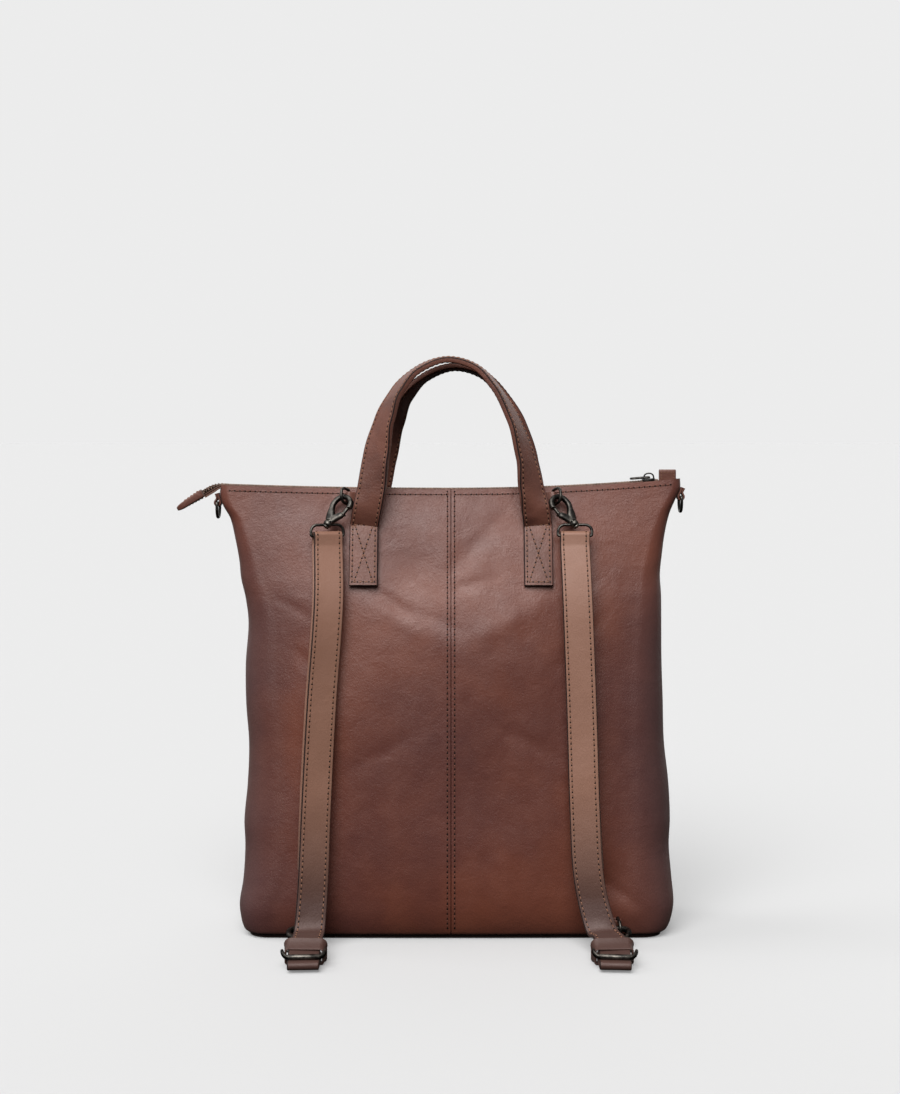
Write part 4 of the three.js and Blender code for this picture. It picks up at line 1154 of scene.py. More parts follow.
    def depth(self, x: float, z: float, facing: Facing, plain: bool = False) -> float:
        """How far a face stands off the bag's middle.

        Args:
            x: place along the face.
            z: height.
            facing: which face.
            plain: whether to leave out the folds.

        Returns:
            The distance.
        """
        up = z / self.top(x)
        s = self.section(up)
        reach = (s["left"] if x < 0 else s["right"]) - s["radius"]
        share = min(1.0, abs(x) / reach)
        base = s["deep"] + s["crown"] * (1 - share**2)
        if plain:
            return base + self.dented(x, up, facing) * (1 - share**8)
        return base + self.relief(x, up, facing) * (1 - share**8) - self.dip(x, facing)

    def dip(self, x: float, facing: Facing) -> float:
        """How far the leather rolls in at the middle seam of the back."""
        return self.seam_dip * exp(-((x / 0.5) ** 2)) if facing is Facing.BACK else 0.0

    def point(self, x: float, z: float, facing: Facing) -> Vector:
        """A point of a face's leather."""
        return Vector((x, facing.value * self.depth(x, z, facing), z))

    def frame(self, x: float, z: float, facing: Facing, step: float = 3.0, plain: bool = True) -> Frame:
        """The frame of a face's leather: out leaves it and along climbs it.

        Args:
            x: place along the face.
            z: height.
            facing: which face.
            step: over what distance it is measured.
            plain: whether to leave out the folds.

        Returns:
            The frame.
        """

        def at(px: float, pz: float) -> Vector:
            """A point of the leather."""
            return Vector((px, facing.value * self.depth(px, pz, facing, plain), pz))

        along = (at(x, z + step) - at(x, z - step)).normalized()
        sideways = (at(x + step, z) - at(x - step, z)).normalized()
        out = sideways.cross(along).normalized() * (1 if facing is Facing.BACK else -1)
        return Frame(at(x, z), out.cross(along), out, along)

    def run(self, side: Side, facing: Facing, up: float, inset: float, middle: float) -> list[Vector]:
        """A row of the wall, from the middle of a face to the side seam.

        Args:
            side: towards which end.
            facing: which face.
            up: share of the height.
            inset: how far inside the outer face.
            middle: where the row starts, off the bag's middle.

        Returns:
            The row's points.
        """
        low = min(1.0, max(0.0, 1 - (up * self.height - self.foot_gap) / self.foot_roll))
        s = self.section(up, inset + self.foot_roll * (1 - sqrt(1 - low * low)))
        reach, radius = s[side.label], s["radius"]
        row = []

        def put(x: float, y: float) -> None:
            """Adds a point of the row."""
            row.append(Vector((side.value * x, facing.value * y, up * self.top(side.value * x))))

        for i in range(self.face_steps + 1):
            share = (i / self.face_steps) ** 1.5
            x = mix(middle, reach - radius, share)
            share = x / (reach - radius)
            rough = self.relief(side.value * x, up, facing) * (1 - share**8) - self.dip(x, facing)
            put(x, s["deep"] + s["crown"] * (1 - share**2) + rough)
        for i in range(1, self.corner_steps):
            angle = radians(90 * i / self.corner_steps)
            put(reach - radius + radius * sin(angle), s["deep"] - radius + radius * cos(angle))
        for i in range(self.side_steps + 1):
            y = mix(s["deep"] - radius, self.seam_gap / 2, i / self.side_steps)
            tuck = 0.7 * exp(-(((y - self.seam_gap / 2) / 0.8) ** 2)) if inset == 0 else 0.0
            put(reach - tuck, max(y, self.seam_gap / 2))
        return row

    def panel(self, maker: MeshMaker, make_row: Callable[[float, float], list[Vector]]) -> None:
        """Adds a closed leather panel.

        Args:
            maker: where it goes.
            make_row: gives a row at a share of the height and an inset.
        """
        ups = [0.5 - 0.5 * cos(pi * (0.06 + 0.94 * i / self.rows)) for i in range(self.rows + 1)]
        foot = self.foot_gap / self.height
        shares = [mix(foot, 1.0, (u - ups[0]) / (ups[-1] - ups[0])) for u in ups]
        outer, inner = (maker.grid([make_row(u, inset) for u in shares]) for inset in (0.0, self.leather))
        for j in range(len(outer[0]) - 1):
            for i in (0, -1):
                maker.add_face(outer[i][j], outer[i][j + 1], inner[i][j + 1], inner[i][j], slot=1)
        for i in range(len(outer) - 1):
            for j in (0, -1):
                maker.add_face(outer[i][j], outer[i + 1][j], inner[i + 1][j], inner[i][j], slot=1)

    def build(self) -> None:
        """Makes the body."""
        gap = self.seam_width / 2
        for side in Side:
            maker = MeshMaker()
            self.panel(maker, lambda up, inset, side=side: self.run(side, Facing.BACK, up, inset, gap))
            name = f"back_panel_{side.label}"
            maker.leather([self.paint.body, self.paint.edge], "body_leather", name)
        maker = MeshMaker()

        def front_row(up: float, inset: float) -> list[Vector]:
            """A row of the whole front, from its left end to its right."""
            left = self.run(Side.LEFT, Facing.FRONT, up, inset, 0.0)
            return list(reversed(left))[:-1] + self.run(Side.RIGHT, Facing.FRONT, up, inset, 0.0)

        self.panel(maker, front_row)
        maker.leather([self.paint.body, self.paint.edge], "body_leather", "front_panel")
        self._base()
        self._stitches()

    def _base(self) -> None:
        """Makes the flat base inside the foot of the walls, in the near-black cut-edge colour as painted contact shadow
        under them.
        """
        maker = MeshMaker()
        inset = self.foot_roll + 0.6
        rim = []
        turn = [(Facing.BACK, side) for side in Side] + [(Facing.FRONT, side) for side in reversed(Side)]
        for facing, side in turn:
            row = self.run(side, facing, self.foot_gap / self.height, inset - self.foot_roll, 0.0)
            forward = (facing is Facing.BACK) == (side is Side.RIGHT)
            rim.extend(row[1:] if forward else list(reversed(row))[:-1])
        heights = ((0.985, 0.0), (1.0, 0.5), (1.0, self.foot_gap + 1.0), (0.985, self.foot_gap + 1.4))
        rows = [[Vector((p.x * share, p.y * share, z)) for p in rim] for share, z in heights]
        maker.solid(rows)
        # near-black base showing in the gap under the walls: painted contact shadow
        maker.build("base_leather", [self.paint.edge], "body_leather", ["base_panel"])

    def _stitches(self) -> None:
        """Makes the two rows beside the back's seam and the row below the top edge, front and back."""
        seam = Seam(Stitching())

        def sew(points: list[Vector], facing: Facing) -> None:
            """Sews a row on a face."""
            normals = [self.frame(p.x, min(p.z, self.top(p.x) - 3.2), facing, 1.5, False).out for p in points]
            seam.sew(points, normals)

        for x in (-self.seam_row, self.seam_row):
            sew([self.point(x, mix(10, self.top(x) - 1.8, i / 150), Facing.BACK) for i in range(151)], Facing.BACK)
        for facing in Facing:
            for side in Side:
                reach = self.section(0.985)[side.label] - 9
                xs = [side.value * mix(3.6, reach, i / 60) for i in range(61)]
                sew([self.point(x, self.top(x) - self.hem, facing) for x in xs], facing)
        seam.build("body", "body_leather", self.paint.seam_thread, self.paint.hole)


@dataclass
class Zip:
    """The zip along the top edge, with its free left end and its slider."""

    bag: TotePanels
    paint: Palette
    tape_half: float = 5.0
    tape: float = 1.2
    sink: float = 2.6
    teeth_half: float = 2.6
    teeth_thick: float = 2.0
    tail: float = 14.0
    tail_drop: float = 6.0
    cover: float = 25.0
    cover_thick: float = 6.4
    tab_length: float = 14.0
    tab_height: float = 10.0
    tab_thick: float = 5.0
    slider_length: float = 11.0
    clearance: float = 0.3
    pull_length: float = 15.0
    pull_width: float = 8.0
    pull_wire: float = 0.9
    slider_wall: float = 1.5
    roll: float = 38.0  # of the free end towards the back, in degrees
    tooth_pitch: float = 2.3
    proud: float = 1.0

    def height(self, x: float) -> float:
        """Height of the tape's middle."""
        return self.bag.top(x) - self.sink + self.proud

    @property
    def tab_middle(self) -> float:
        """Where the standing tab's middle is."""
        return self.bag.section(1.0)["right"] - 0.75 * self.tab_length

    @property
    def teeth_end(self) -> float:
        """Where the teeth end, at the tab."""
        return self.tab_middle - self.tab_length / 2 - self.clearance

    def path(self, end: float) -> list[Vector]:
        """The zip's middle line, from its free end.

        Args:
            end: where it stops.

        Returns:
            Its points.
        """
        left = -self.bag.half_width
        low = self.height(left)
        points = [
            Vector((left - self.tail, 0, low - self.tail_drop)),
            Vector((left - self.tail / 2, 0, low - self.tail_drop / 3)),
            Vector((left, 0, low)),
        ]
        start = left + 4 * self.bag.leather
        points += [Vector((mix(start, end, i / 12), 0, self.height(mix(start, end, i / 12)))) for i in range(13)]
        return points

    def face(self, x: float) -> Vector:
        """The way that the tape's face looks: up, but its free end is rolled towards the back.

        Args:
            x: place along it.

        Returns:
            The way.
        """
        share = min(1.0, max(0.0, (4.0 - self.bag.half_width - x) / 12.0))
        angle = radians(self.roll * share * share * (3 - 2 * share))
        return Vector((0, -sin(angle), cos(angle)))

    def tape_width(self, x: float) -> float:
        """Half the tape's width, which narrows into the right end of the bag.

        Args:
            x: place along it.

        Returns:
            Half its width.
        """
        s = self.bag.section(1.0, self.bag.leather + self.clearance)
        past = max(0.0, x - (s["right"] - s["radius"]))
        room = sqrt(max(0.0, s["radius"] ** 2 - past**2))
        return self.tape_half if x < 0 else min(self.tape_half, room)

    def build(self) -> None:
        """Makes the zip."""
        end = self.bag.section(1.0, self.bag.leather)["right"] - 2 * self.bag.leather
        points = Spline(self.path(end)).spaced(120)
        frames = frames_along(points, lambda i: self.face(points[i].x))
        maker = MeshMaker()
        outline = strip_outline(2, self.tape, 0, 6)
        rows = [[f.point(a * self.tape_width(f.at.x), o) for a, o in outline] for f in frames]
        maker.solid(rows)
        maker.build("zip_tape_cloth", [self.paint.tape], "zip_fabric", ["zip_tape"])
        self._teeth()
        self._cover(frames_along(points[:2], lambda _: UP)[0])
        self._tab()
        self._slider()

    def _teeth(self) -> None:
        """Makes the two rows of teeth, which mesh."""
        path = Spline(self.path(self.teeth_end)).spaced(200)
        count = int(line_length(path) / self.tooth_pitch)
        points = even_points(path, 2 * count)
        frames = frames_along(points, lambda i: self.face(points[i].x))
        lift = self.tape / 2 + self.clearance
        maker = MeshMaker()
        for i, f in enumerate(frames[1:-1]):
            side = 1 if i % 2 else -1
            root, tip = side * self.teeth_half, -side * 0.5
            half = 0.3 * self.tooth_pitch
            low = [f.point(a, lift, b) for a, b in ((root, -half), (root, half), (tip, half * 0.8), (tip, -half * 0.8))]
            mid = [p + f.out * (0.7 * self.teeth_thick) for p in low]
            middle = sum(mid, Vector()) / 4
            high = [middle.lerp(p, 0.72) + f.out * (0.3 * self.teeth_thick) for p in mid]
            maker.solid([low, mid, high])
        for side in (-1, 1):
            cord = [f.moved(side * (self.teeth_half + 0.1), lift + 0.5) for f in frames[::3]]
            maker.sweep(cord, circle_outline(0.55, 6), slot_of=lambda _: 1)
        maker.build("zip_teeth_row", [self.paint.teeth, self.paint.tape], "antique_metal", ["zip_teeth"])

    def _cover(self, start: Frame) -> None:
        """Makes the folded leather over the zip's free end.

        Args:
            start: the frame of the tape's end.
        """
        maker = MeshMaker()
        width = 2 * self.tape_half + 1
        base = start.moved(0, self.tape)
        count = 26
        rows = []
        for i in range(count + 1):
            share = i / count
            along = mix(self.clearance, self.cover, share)
            round_end = sqrt(max(0.0, 1 - max(0.0, (share - 0.72) / 0.28) ** 2 * 0.96))
            thick = self.cover_thick * (0.98 - 0.25 * share) * (0.45 + 0.55 * round_end)
            outline = strip_outline(width * (0.42 + 0.58 * round_end), thick, 0.3, 8)
            f = base.moved(0, -0.6 * share * share, -along)
            rows.append(f.row(outline))
        maker.solid(rows)
        maker.leather([self.paint.trim], "trim_leather", "zip_end_cover")
        thread = MeshMaker()
        for side in (-1, 1):
            for face in (-1, 1):
                line = []
                for s in (0.0, 0.5, 1.0):
                    lift = 0.5 * self.cover_thick * (0.98 - 0.25 * s) + 0.25
                    line.append(base.point(side * 3.6, face * lift, -mix(2, 17, s)))
                Stitching(pitch=3.0).sew(thread, line, [base.out * face] * 3)
        thread.build("zip_end_cover_stitches", [self.paint.thread], "trim_leather")

    def _tab(self) -> None:
        """Makes the leather tab that stands at the zip's right end."""
        x = self.tab_middle
        low = self.height(x + self.tab_length / 2) + self.tape / 2 + self.clearance - 1.5 * self.proud
        maker = MeshMaker()
        rows = []
        half = min(self.tab_thick / 2, self.bag.section(1.0, self.bag.leather + self.clearance)["deep"])
        for i in range(13):
            share = i / 12
            edge = sqrt(max(0.0, 1 - max(0.0, (share - 0.82) / 0.18) ** 2 * 0.7))
            f = Frame(Vector((x, 0, low + self.tab_height * share)), Vector((1, 0, 0)), Vector((0, -1, 0)), UP)
            outline = strip_outline(self.tab_length * (0.88 + 0.12 * edge), 2 * half * (0.55 + 0.45 * edge), 0.0, 8)
            rows.append(f.row(outline))
        maker.solid(rows)
        maker.leather([self.paint.trim], "trim_leather", "zip_end_tab")
        thread = MeshMaker()
        for y in (-1, 1):
            path = ((-5.2, 1.5), (-5.2, 7.6), (5.2, 7.6), (5.2, 1.5))
            line = [Vector((x + dx, y * (half + 0.02), low + dz)) for dx, dz in path]
            Stitching(pitch=2.6, radius=0.28).sew(thread, line, [Vector((0, y, 0))] * 4)
        thread.build("zip_end_tab_stitches", [self.paint.thread], "trim_leather")

    def _slider(self) -> None:
        """Makes the slider and its pull."""
        x = self.teeth_end - self.slider_length / 2 - 3
        lift = self.tape / 2 + self.clearance + self.teeth_thick
        flat = Vector((1, 0, (self.height(x + 1) - self.height(x - 1)) / 2)).normalized()
        base = Frame(Vector((x, 0, self.height(x) + lift + self.clearance)), Vector((0, 1, 0)), Vector(), flat)
        base.out = flat.cross(Vector((0, 1, 0))).normalized()
        half, wall = self.slider_length / 2, self.slider_wall
        plate = wall - self.proud
        wide = self.teeth_half + self.clearance + wall
        maker = MeshMaker()
        rows = []
        for i in range(15):
            share = 2 * i / 14 - 1
            width = wide * (1 - 0.16 * abs(share) ** 2) * (1.0 if abs(share) < 1 else 0.82)
            thick = plate * (1.0 if abs(share) < 0.99 else 0.6)
            f = base.moved(0, thick / 2, half * share * 0.99)
            rows.append(f.row(strip_outline(2 * width, thick, 0.1, 6)))
        maker.solid(rows)
        for side in (-1, 1):
            place = (side * (wide - wall / 2) * 0.96, -self.teeth_thick / 2 + 0.2)
            skirt = [base.moved(*place, half * s) for s in (-0.86, -0.8, 0.0, 0.8, 0.86)]
            section = strip_outline(wall * 0.8, self.teeth_thick + 0.6, 0, 4)
            maker.sweep(skirt, section, scale_of=lambda i: 0.7 if i in (0, 4) else 1.0)
        rise = 2 * self.pull_wire + 2 * self.clearance
        arch = []
        for i in range(17):
            angle = pi * i / 16
            up = plate * 0.6 + (rise + wall * 1.5) * sin(angle) ** 0.6
            arch.append(base.point(0, up, 0.5 - 0.74 * half * cos(angle)))
        frames = frames_along(arch, lambda i: base.out if i not in (0, 16) else base.along)
        maker.sweep(frames, strip_outline(1.8, 1.2, 0, 4))
        maker.metal(self.paint, "zip_slider")

        gap = self.pull_wire + self.clearance
        pivot = base.point(0, plate + gap, 0.6 * half - wall - gap)
        pull = MeshMaker()
        away = -base.along
        loop = Frame(pivot, Vector((0, 1, 0)), away.cross(Vector((0, 1, 0))), away)
        path = loop_path(loop, self.pull_width, self.pull_length, 1.5, 3.0, 8)
        wire_loop(pull, loop, path, self.pull_wire, 12)
        pull.metal(self.paint, "zip_pull", "zip_pull")


def wire_loop(maker: MeshMaker, frame: Frame, path: Line, radius: float, sides: int) -> None:
    """Adds a closed loop of wire."""
    maker.sweep(frames_along(path, lambda _: frame.out, True), circle_outline(radius, sides), loop=True)


def loop_path(frame: Frame, width: float, height: float, foot: float, head: float, steps: int) -> list[Vector]:
    """A closed path in a plane: a rectangle with one radius at its foot and another at its head.

    Args:
        frame: its foot's middle; across and along span its plane.
        width: its width.
        height: its height.
        foot: radius of its foot's corners.
        head: radius of its head's corners.
        steps: steps in each corner.

    Returns:
        Its points.
    """
    half = width / 2
    foot = min(foot, half, height / 2)
    head = min(head, half - 0.01, height - foot - 0.01)
    corners = (
        (half - foot, foot, foot, -90),
        (half - head, height - head, head, 0),
        (head - half, height - head, head, 90),
        (foot - half, foot, foot, 180),
    )
    path = []
    for x, y, r, start in corners:
        for i in range(steps + 1):
            angle = radians(start + 90 * i / steps)
            path.append(frame.point(x + r * cos(angle), 0, y + r * sin(angle)))
    return path


@dataclass(frozen=True)
class ArchStation:
    """A place on a handle's arch, as shares of its spread, its rise and the bag's half depth, and its turn."""

    across: float
    rise: float
    lean: float
    turn: float


@dataclass
class Handles:
    """The two carry handles, each one strip with its sewn ends."""

    bag: TotePanels
    paint: Palette
    width: float = 23.5
    thickness: float = 4.4
    spread: float = 71.0
    tab: float = 48.0
    tab_top: float = 330.0
    rise: float = 137.0
    far_shift: float = 6.0
    far_drop: float = 5.0
    crown: float = 0.35
    stitch_inset: float = 2.6
    clearance: float = 0.3
    # rows of: place across, rise, lean and turn in degrees, from the left end to the right
    arch: tuple[ArchStation, ...] = rows_of(ArchStation, (
        (-0.965, 0.1, 0.475, 3),
        (-0.915, 0.22, 0.495, 12),
        (-0.855, 0.43, 0.47, 28),
        (-0.765, 0.64, 0.4, 52),
        (-0.62, 0.81, 0.34, 70),
        (-0.39, 0.935, 0.29, 82),
        (-0.05, 1, 0.27, 86),
        (0.28, 0.955, 0.29, 85),
        (0.51, 0.835, 0.33, 80),
        (0.72, 0.64, 0.39, 70),
        (0.855, 0.42, 0.45, 55),
        (0.925, 0.22, 0.485, 32),
        (0.975, 0.09, 0.475, 8),
    ))

    def leg(self, side: Side, facing: Facing) -> list[tuple[Vector, Vector]]:
        """A sewn end, from its foot up.

        Args:
            side: which end of the bag.
            facing: which face.

        Returns:
            Its points and the way out of its face.
        """
        x = side.value * self.spread
        stand = self.thickness / 2 + 3 * self.clearance
        made = []
        for share in (0.0, 0.25, 0.5, 0.75, 1.0):
            z = self.tab_top - self.tab * (1 - share)
            low, high = (self.bag.depth(x, z + d, facing, plain=True) for d in (-3, 3))
            out = Vector((0, facing.value, (low - high) / 6)).normalized()
            at = Vector((x, facing.value * self.bag.depth(x, z, facing, plain=True), z))
            made.append((at + out * stand, out))
        return made

    def frames(self, facing: Facing) -> tuple[list[Frame], int]:
        """The handle's frames, from the foot of its left end to the foot of its right.

        Args:
            facing: which face.

        Returns:
            The frames, and how many of them are in a sewn end.
        """
        shift, drop = (self.far_shift, self.far_drop) if facing is Facing.FRONT else (0.0, 0.0)
        left = self.leg(Side.LEFT, facing)
        right = list(reversed(self.leg(Side.RIGHT, facing)))
        knots = [
            Vector(
                (
                    a.across * self.spread + shift * min(1.0, 1.6 * a.rise),
                    facing.value * a.lean * self.bag.half_depth,
                    self.tab_top + a.rise * (self.rise - drop),
                )
            )
            for a in self.arch
        ]
        curve = [left[-1][0], *knots, right[0][0]]
        turns = [0.0, *(a.turn for a in self.arch), 0.0]
        spine = Spline(curve)
        count = 150
        steps = 20  # in each sewn end
        (left_points, left_outs), (right_points, right_outs) = (
            [even_points(column, steps) for column in zip(*leg)] for leg in (left, right)
        )
        arch_points = [spine.at((i + 1) / count) for i in range(count - 1)]
        points = left_points + arch_points + right_points
        outward = Vector((0, facing.value, 0))

        def face(i: int) -> Vector:
            """The way that the handle's face looks at a frame."""
            if i <= steps:
                return left_outs[i]
            if i > steps + len(arch_points):
                return right_outs[i - steps - 1 - len(arch_points)]
            place = (i - steps) / count * (len(curve) - 1)
            low = min(len(turns) - 2, int(place))
            share = place - low
            share = share * share * (3 - 2 * share)
            turn = radians(mix(turns[low], turns[low + 1], share))
            ahead = (points[i + 1] - points[i - 1]).normalized()
            lifted = square_to(Vector((-ahead.z, 0, ahead.x)), ahead)
            return square_to(outward, ahead) * cos(turn) + lifted * sin(turn)

        return frames_along(points, face), steps + 1

    def build(self) -> None:
        """Makes both handles."""
        for facing in Facing:
            name = f"handle_{facing.name.lower()}"
            frames, tab = self.frames(facing)
            maker = MeshMaker()
            maker.sweep_strip(frames, strip_outline(self.width, self.thickness, self.crown, 14), 18)
            maker.leather([self.paint.trim, self.paint.edge], "trim_leather", name)
            self._stitches(name, frames, tab)

    def _stitches(self, name: str, frames: Sequence[Frame], tab: int) -> None:
        """Makes a handle's edge rows and the crossed box on each sewn end.

        Args:
            name: the handle's node.
            frames: its frames.
            tab: how many frames are in a sewn end.
        """
        seam = Seam(Stitching(pitch=4.2, radius=0.44, hole=0.66))
        lift = self.thickness / 2

        def swell(a: float) -> float:
            """Height of the swollen face over the handle's middle."""
            return lift + self.crown * (1 - (2 * a / self.width) ** 2)

        inset = self.width / 2 - self.stitch_inset
        middle = frames[tab:-tab]
        for a in (-inset, inset):
            for face in (1, -1):
                line = [f.point(a, face * (swell(a) if face > 0 else lift)) for f in middle]
                seam.sew(line, [f.out * face for f in middle])
        for end in (frames[:tab], list(reversed(frames[-tab:]))):
            span = end[1:]
            outs = [f.out for f in span]
            for a in (-inset, inset):
                seam.sew([f.point(a, swell(a)) for f in span], outs)
            for f in (span[0], span[-1]):
                row = [f.point(mix(-inset, inset, k / 6), swell(mix(-inset, inset, k / 6))) for k in range(7)]
                seam.sew(row, [f.out] * 7)
            for sign in (-1, 1):
                reach = inset - 1.6
                places = [mix(-reach, reach, k / (len(span) - 1)) * sign for k in range(len(span))]
                seam.sew([f.point(a, swell(a)) for f, a in zip(span, places)], outs)
        seam.build(name, "trim_leather", self.paint.thread, self.paint.hole)


@dataclass
class Ring:
    """A D-ring's place: its bar's middle, the way of its arch and the way along its bar."""

    bar: Vector
    way: Vector
    up: Vector


@dataclass
class Fittings:
    """The D-rings with their leather loops, and the four snap hooks."""

    bag: TotePanels
    paint: Palette
    clearance: float = 0.3
    wire: float = 1.2
    inside: float = 10.0
    ring_depth: float = 12.0
    side_inside: float = 17.0
    loop_leather: float = 1.5
    loop_length: float = 13.0
    ring_across: float = 84.0
    ring_drop: float = 7.5
    base_outward: float = 9.0
    base_height: float = 15.0
    hook_length: float = 25.5
    hook_half: float = 7.6
    hook_thick: float = 4.6
    hook_swell: float = 1.7
    hook_wall: float = 2.8
    neck: float = 3.4
    eye_foot: float = 9.0
    nose: float = 4.2  # from the eye's far end back to the hook's nose
    pin: float = 1.8  # of the gate, above the eye's foot
    gate: float = 2.6
    stem: float = 1.7
    boss: float = 3.5
    boss_length: float = 4.4
    swivel_height: float = 9.0
    strap_width: float = 24.0

    @property
    def standoff(self) -> float:
        """Height of a ring's bar above the leather."""
        return 1.4 * self.clearance + self.loop_leather + self.clearance + self.wire

    @property
    def eye_top(self) -> float:
        """Far end of a hook's eye."""
        return self.hook_length - self.hook_wall - 0.1

    @property
    def seat(self) -> float:
        """Where the ring's wire sits in a hook's eye."""
        return self.eye_top - self.wire - 5 * self.clearance

    @property
    def ring_head(self) -> float:
        """Where the swivel ring's head is, along the hook."""
        return -self.clearance - 0.75 * self.boss_length

    def loop(self, name: str, face: Frame, length: float, width: float) -> None:
        """Makes a leather loop round a ring's bar.

        Args:
            name: the loop's node.
            face: frame on the leather; across runs to the sewn end and along is the bar.
            length: from the bar to the sewn end.
            width: its width.
        """
        wrap = self.wire + self.clearance + self.loop_leather / 2
        low = 1.4 * self.clearance + self.loop_leather / 2
        second = low + self.loop_leather + self.clearance
        turns = [pi * i / 6 for i in range(7)]
        around = [(-wrap * sin(a), self.standoff - wrap * cos(a)) for a in turns]
        shoulder = (self.wire + self.clearance, self.standoff + wrap - self.clearance)
        profile = [(length, low), (length / 2, low), *around, shoulder, (length / 2, second), (length, second)]
        points = Spline(face.row(profile)).spaced(44)
        frames = []
        for i, at in enumerate(points):
            ahead = (points[min(44, i + 1)] - points[max(0, i - 1)]).normalized()
            frames.append(Frame(at, face.along, ahead.cross(face.along), ahead))
        maker = MeshMaker()
        maker.sweep(frames, strip_outline(width, self.loop_leather, 0, 6))
        maker.leather([self.paint.trim], "trim_leather", name)
        thread = MeshMaker()
        top = second + self.loop_leather / 2
        row = [face.point(length - 2.2, top, mix(-0.36, 0.36, s) * width) for s in (0, 0.5, 1)]
        Stitching(pitch=2.4, radius=0.26).sew(thread, row, [face.out] * 3)
        thread.build(f"{name}_stitches", [self.paint.thread], "trim_leather")

    def d_ring(self, name: str, ring: Ring, inside: float, body: str = "bag") -> None:
        """Makes a D-ring.

        Args:
            name: the ring's node.
            ring: its place.
            inside: inside length of its bar.
            body: the body that it rides on.
        """
        frame = Frame(ring.bar, ring.up, ring.way.cross(ring.up), ring.way)
        width = inside + 2 * self.wire
        path = loop_path(frame, width, self.ring_depth, self.wire + 0.1, 0.45 * width, 10)
        maker = MeshMaker()
        wire_loop(maker, frame, path, self.wire, 14)
        maker.metal(self.paint, name, body)

    def back_ring(self, node: str, x: float, z: float, side: Side, lean: float) -> Ring:
        """Makes a D-ring on the back with its loop.

        Args:
            node: the node's name without its side.
            x: place across the back.
            z: its height.
            side: which end of the bag.
            lean: how far the ring stands off the leather, in degrees.

        Returns:
            The ring's place.
        """
        f = self.bag.frame(x, z, Facing.BACK)
        face = Frame(f.at, f.across * side.value, f.out, f.along)
        self.loop(f"{node}_loop_{side.label}", face, self.loop_length, self.inside - 4 * self.clearance)
        angle = radians(lean)
        way = f.out * sin(angle) - f.across * (side.value * cos(angle))
        ring = Ring(f.point(0, self.standoff), way, f.along)
        self.d_ring(f"{node}_{side.label}", ring, self.inside)
        return ring

    def side_ring(self, side: Side) -> None:
        """Makes the D-ring that hangs at an end of the top edge, with its loop.

        Args:
            side: which end of the bag.
        """
        half = side.value * self.bag.half_width

        def at(height: float) -> Vector:
            """A point of the bag's end."""
            return Vector((side.value * self.bag.straight_half(side, height / self.bag.top(half)), 0, height))

        z = 0.962 * self.bag.top(half)
        here, above = at(z), at(z + 4)
        climb = (above - here).normalized()
        out = square_to(Vector((side.value, 0, 0)), climb)
        face = Frame(here, climb, out, climb.cross(out))
        self.loop(f"side_ring_loop_{side.label}", face, 0.6 * self.loop_length, 0.7 * self.side_inside)
        ring = Ring(face.point(0, self.standoff), Vector((0, 0, -1)), Vector((0, 1, 0)))
        node = f"side_ring_{side.label}"
        self.d_ring(node, ring, self.side_inside, body=node)

    def hook(
        self, node: str, side: Side, seat: Vector, axis: Vector, face: Vector, ring_axis: Vector, ring_across: Vector
    ) -> tuple[Vector, Vector]:
        """Makes a snap hook with its gate and its swivel ring.

        Args:
            node: the hook's node without its side.
            side: which end of the bag.
            seat: the middle of the wire that it hangs on.
            axis: from its swivel to its eye.
            face: out of its plate.
            ring_axis: the way that its swivel ring points, towards the hook.
            ring_across: along the swivel ring's bar.

        Returns:
            The middle of the swivel ring's bar, and the way along it.
        """
        out = square_to(face, axis)
        gate_way = axis.cross(out)
        frame = Frame(seat - axis * self.seat, gate_way, axis.copy(), out)
        self._hook_body(f"{node}_{side.label}", frame)
        self._gate(f"{node}_gate_{side.label}", frame)
        head = frame.at + axis * self.ring_head
        down = -ring_axis
        across = square_to(ring_across, down)
        foot = head + down * self.swivel_height
        width = self.strap_width + 2 * self.clearance + 0.4 + 2 * self.wire
        ring = Frame(foot, across, ring_axis.cross(across), ring_axis)
        path = loop_path(ring, width, self.swivel_height, self.wire + 0.1, 5.5, 10)
        maker = MeshMaker()
        wire_loop(maker, ring, path, self.wire, 14)
        boss = self.boss_length
        shape = ((0.55, 0.0), (0.86, 0.08), (1.0, 0.25), (1.0, 0.75), (0.86, 0.92), (0.55, 1.0))
        turned(maker, frame, [(self.boss * r, -self.clearance - boss * s) for r, s in shape], 20)
        name = f"{node}_ring_{side.label}"
        maker.metal(self.paint, name)
        return foot, across

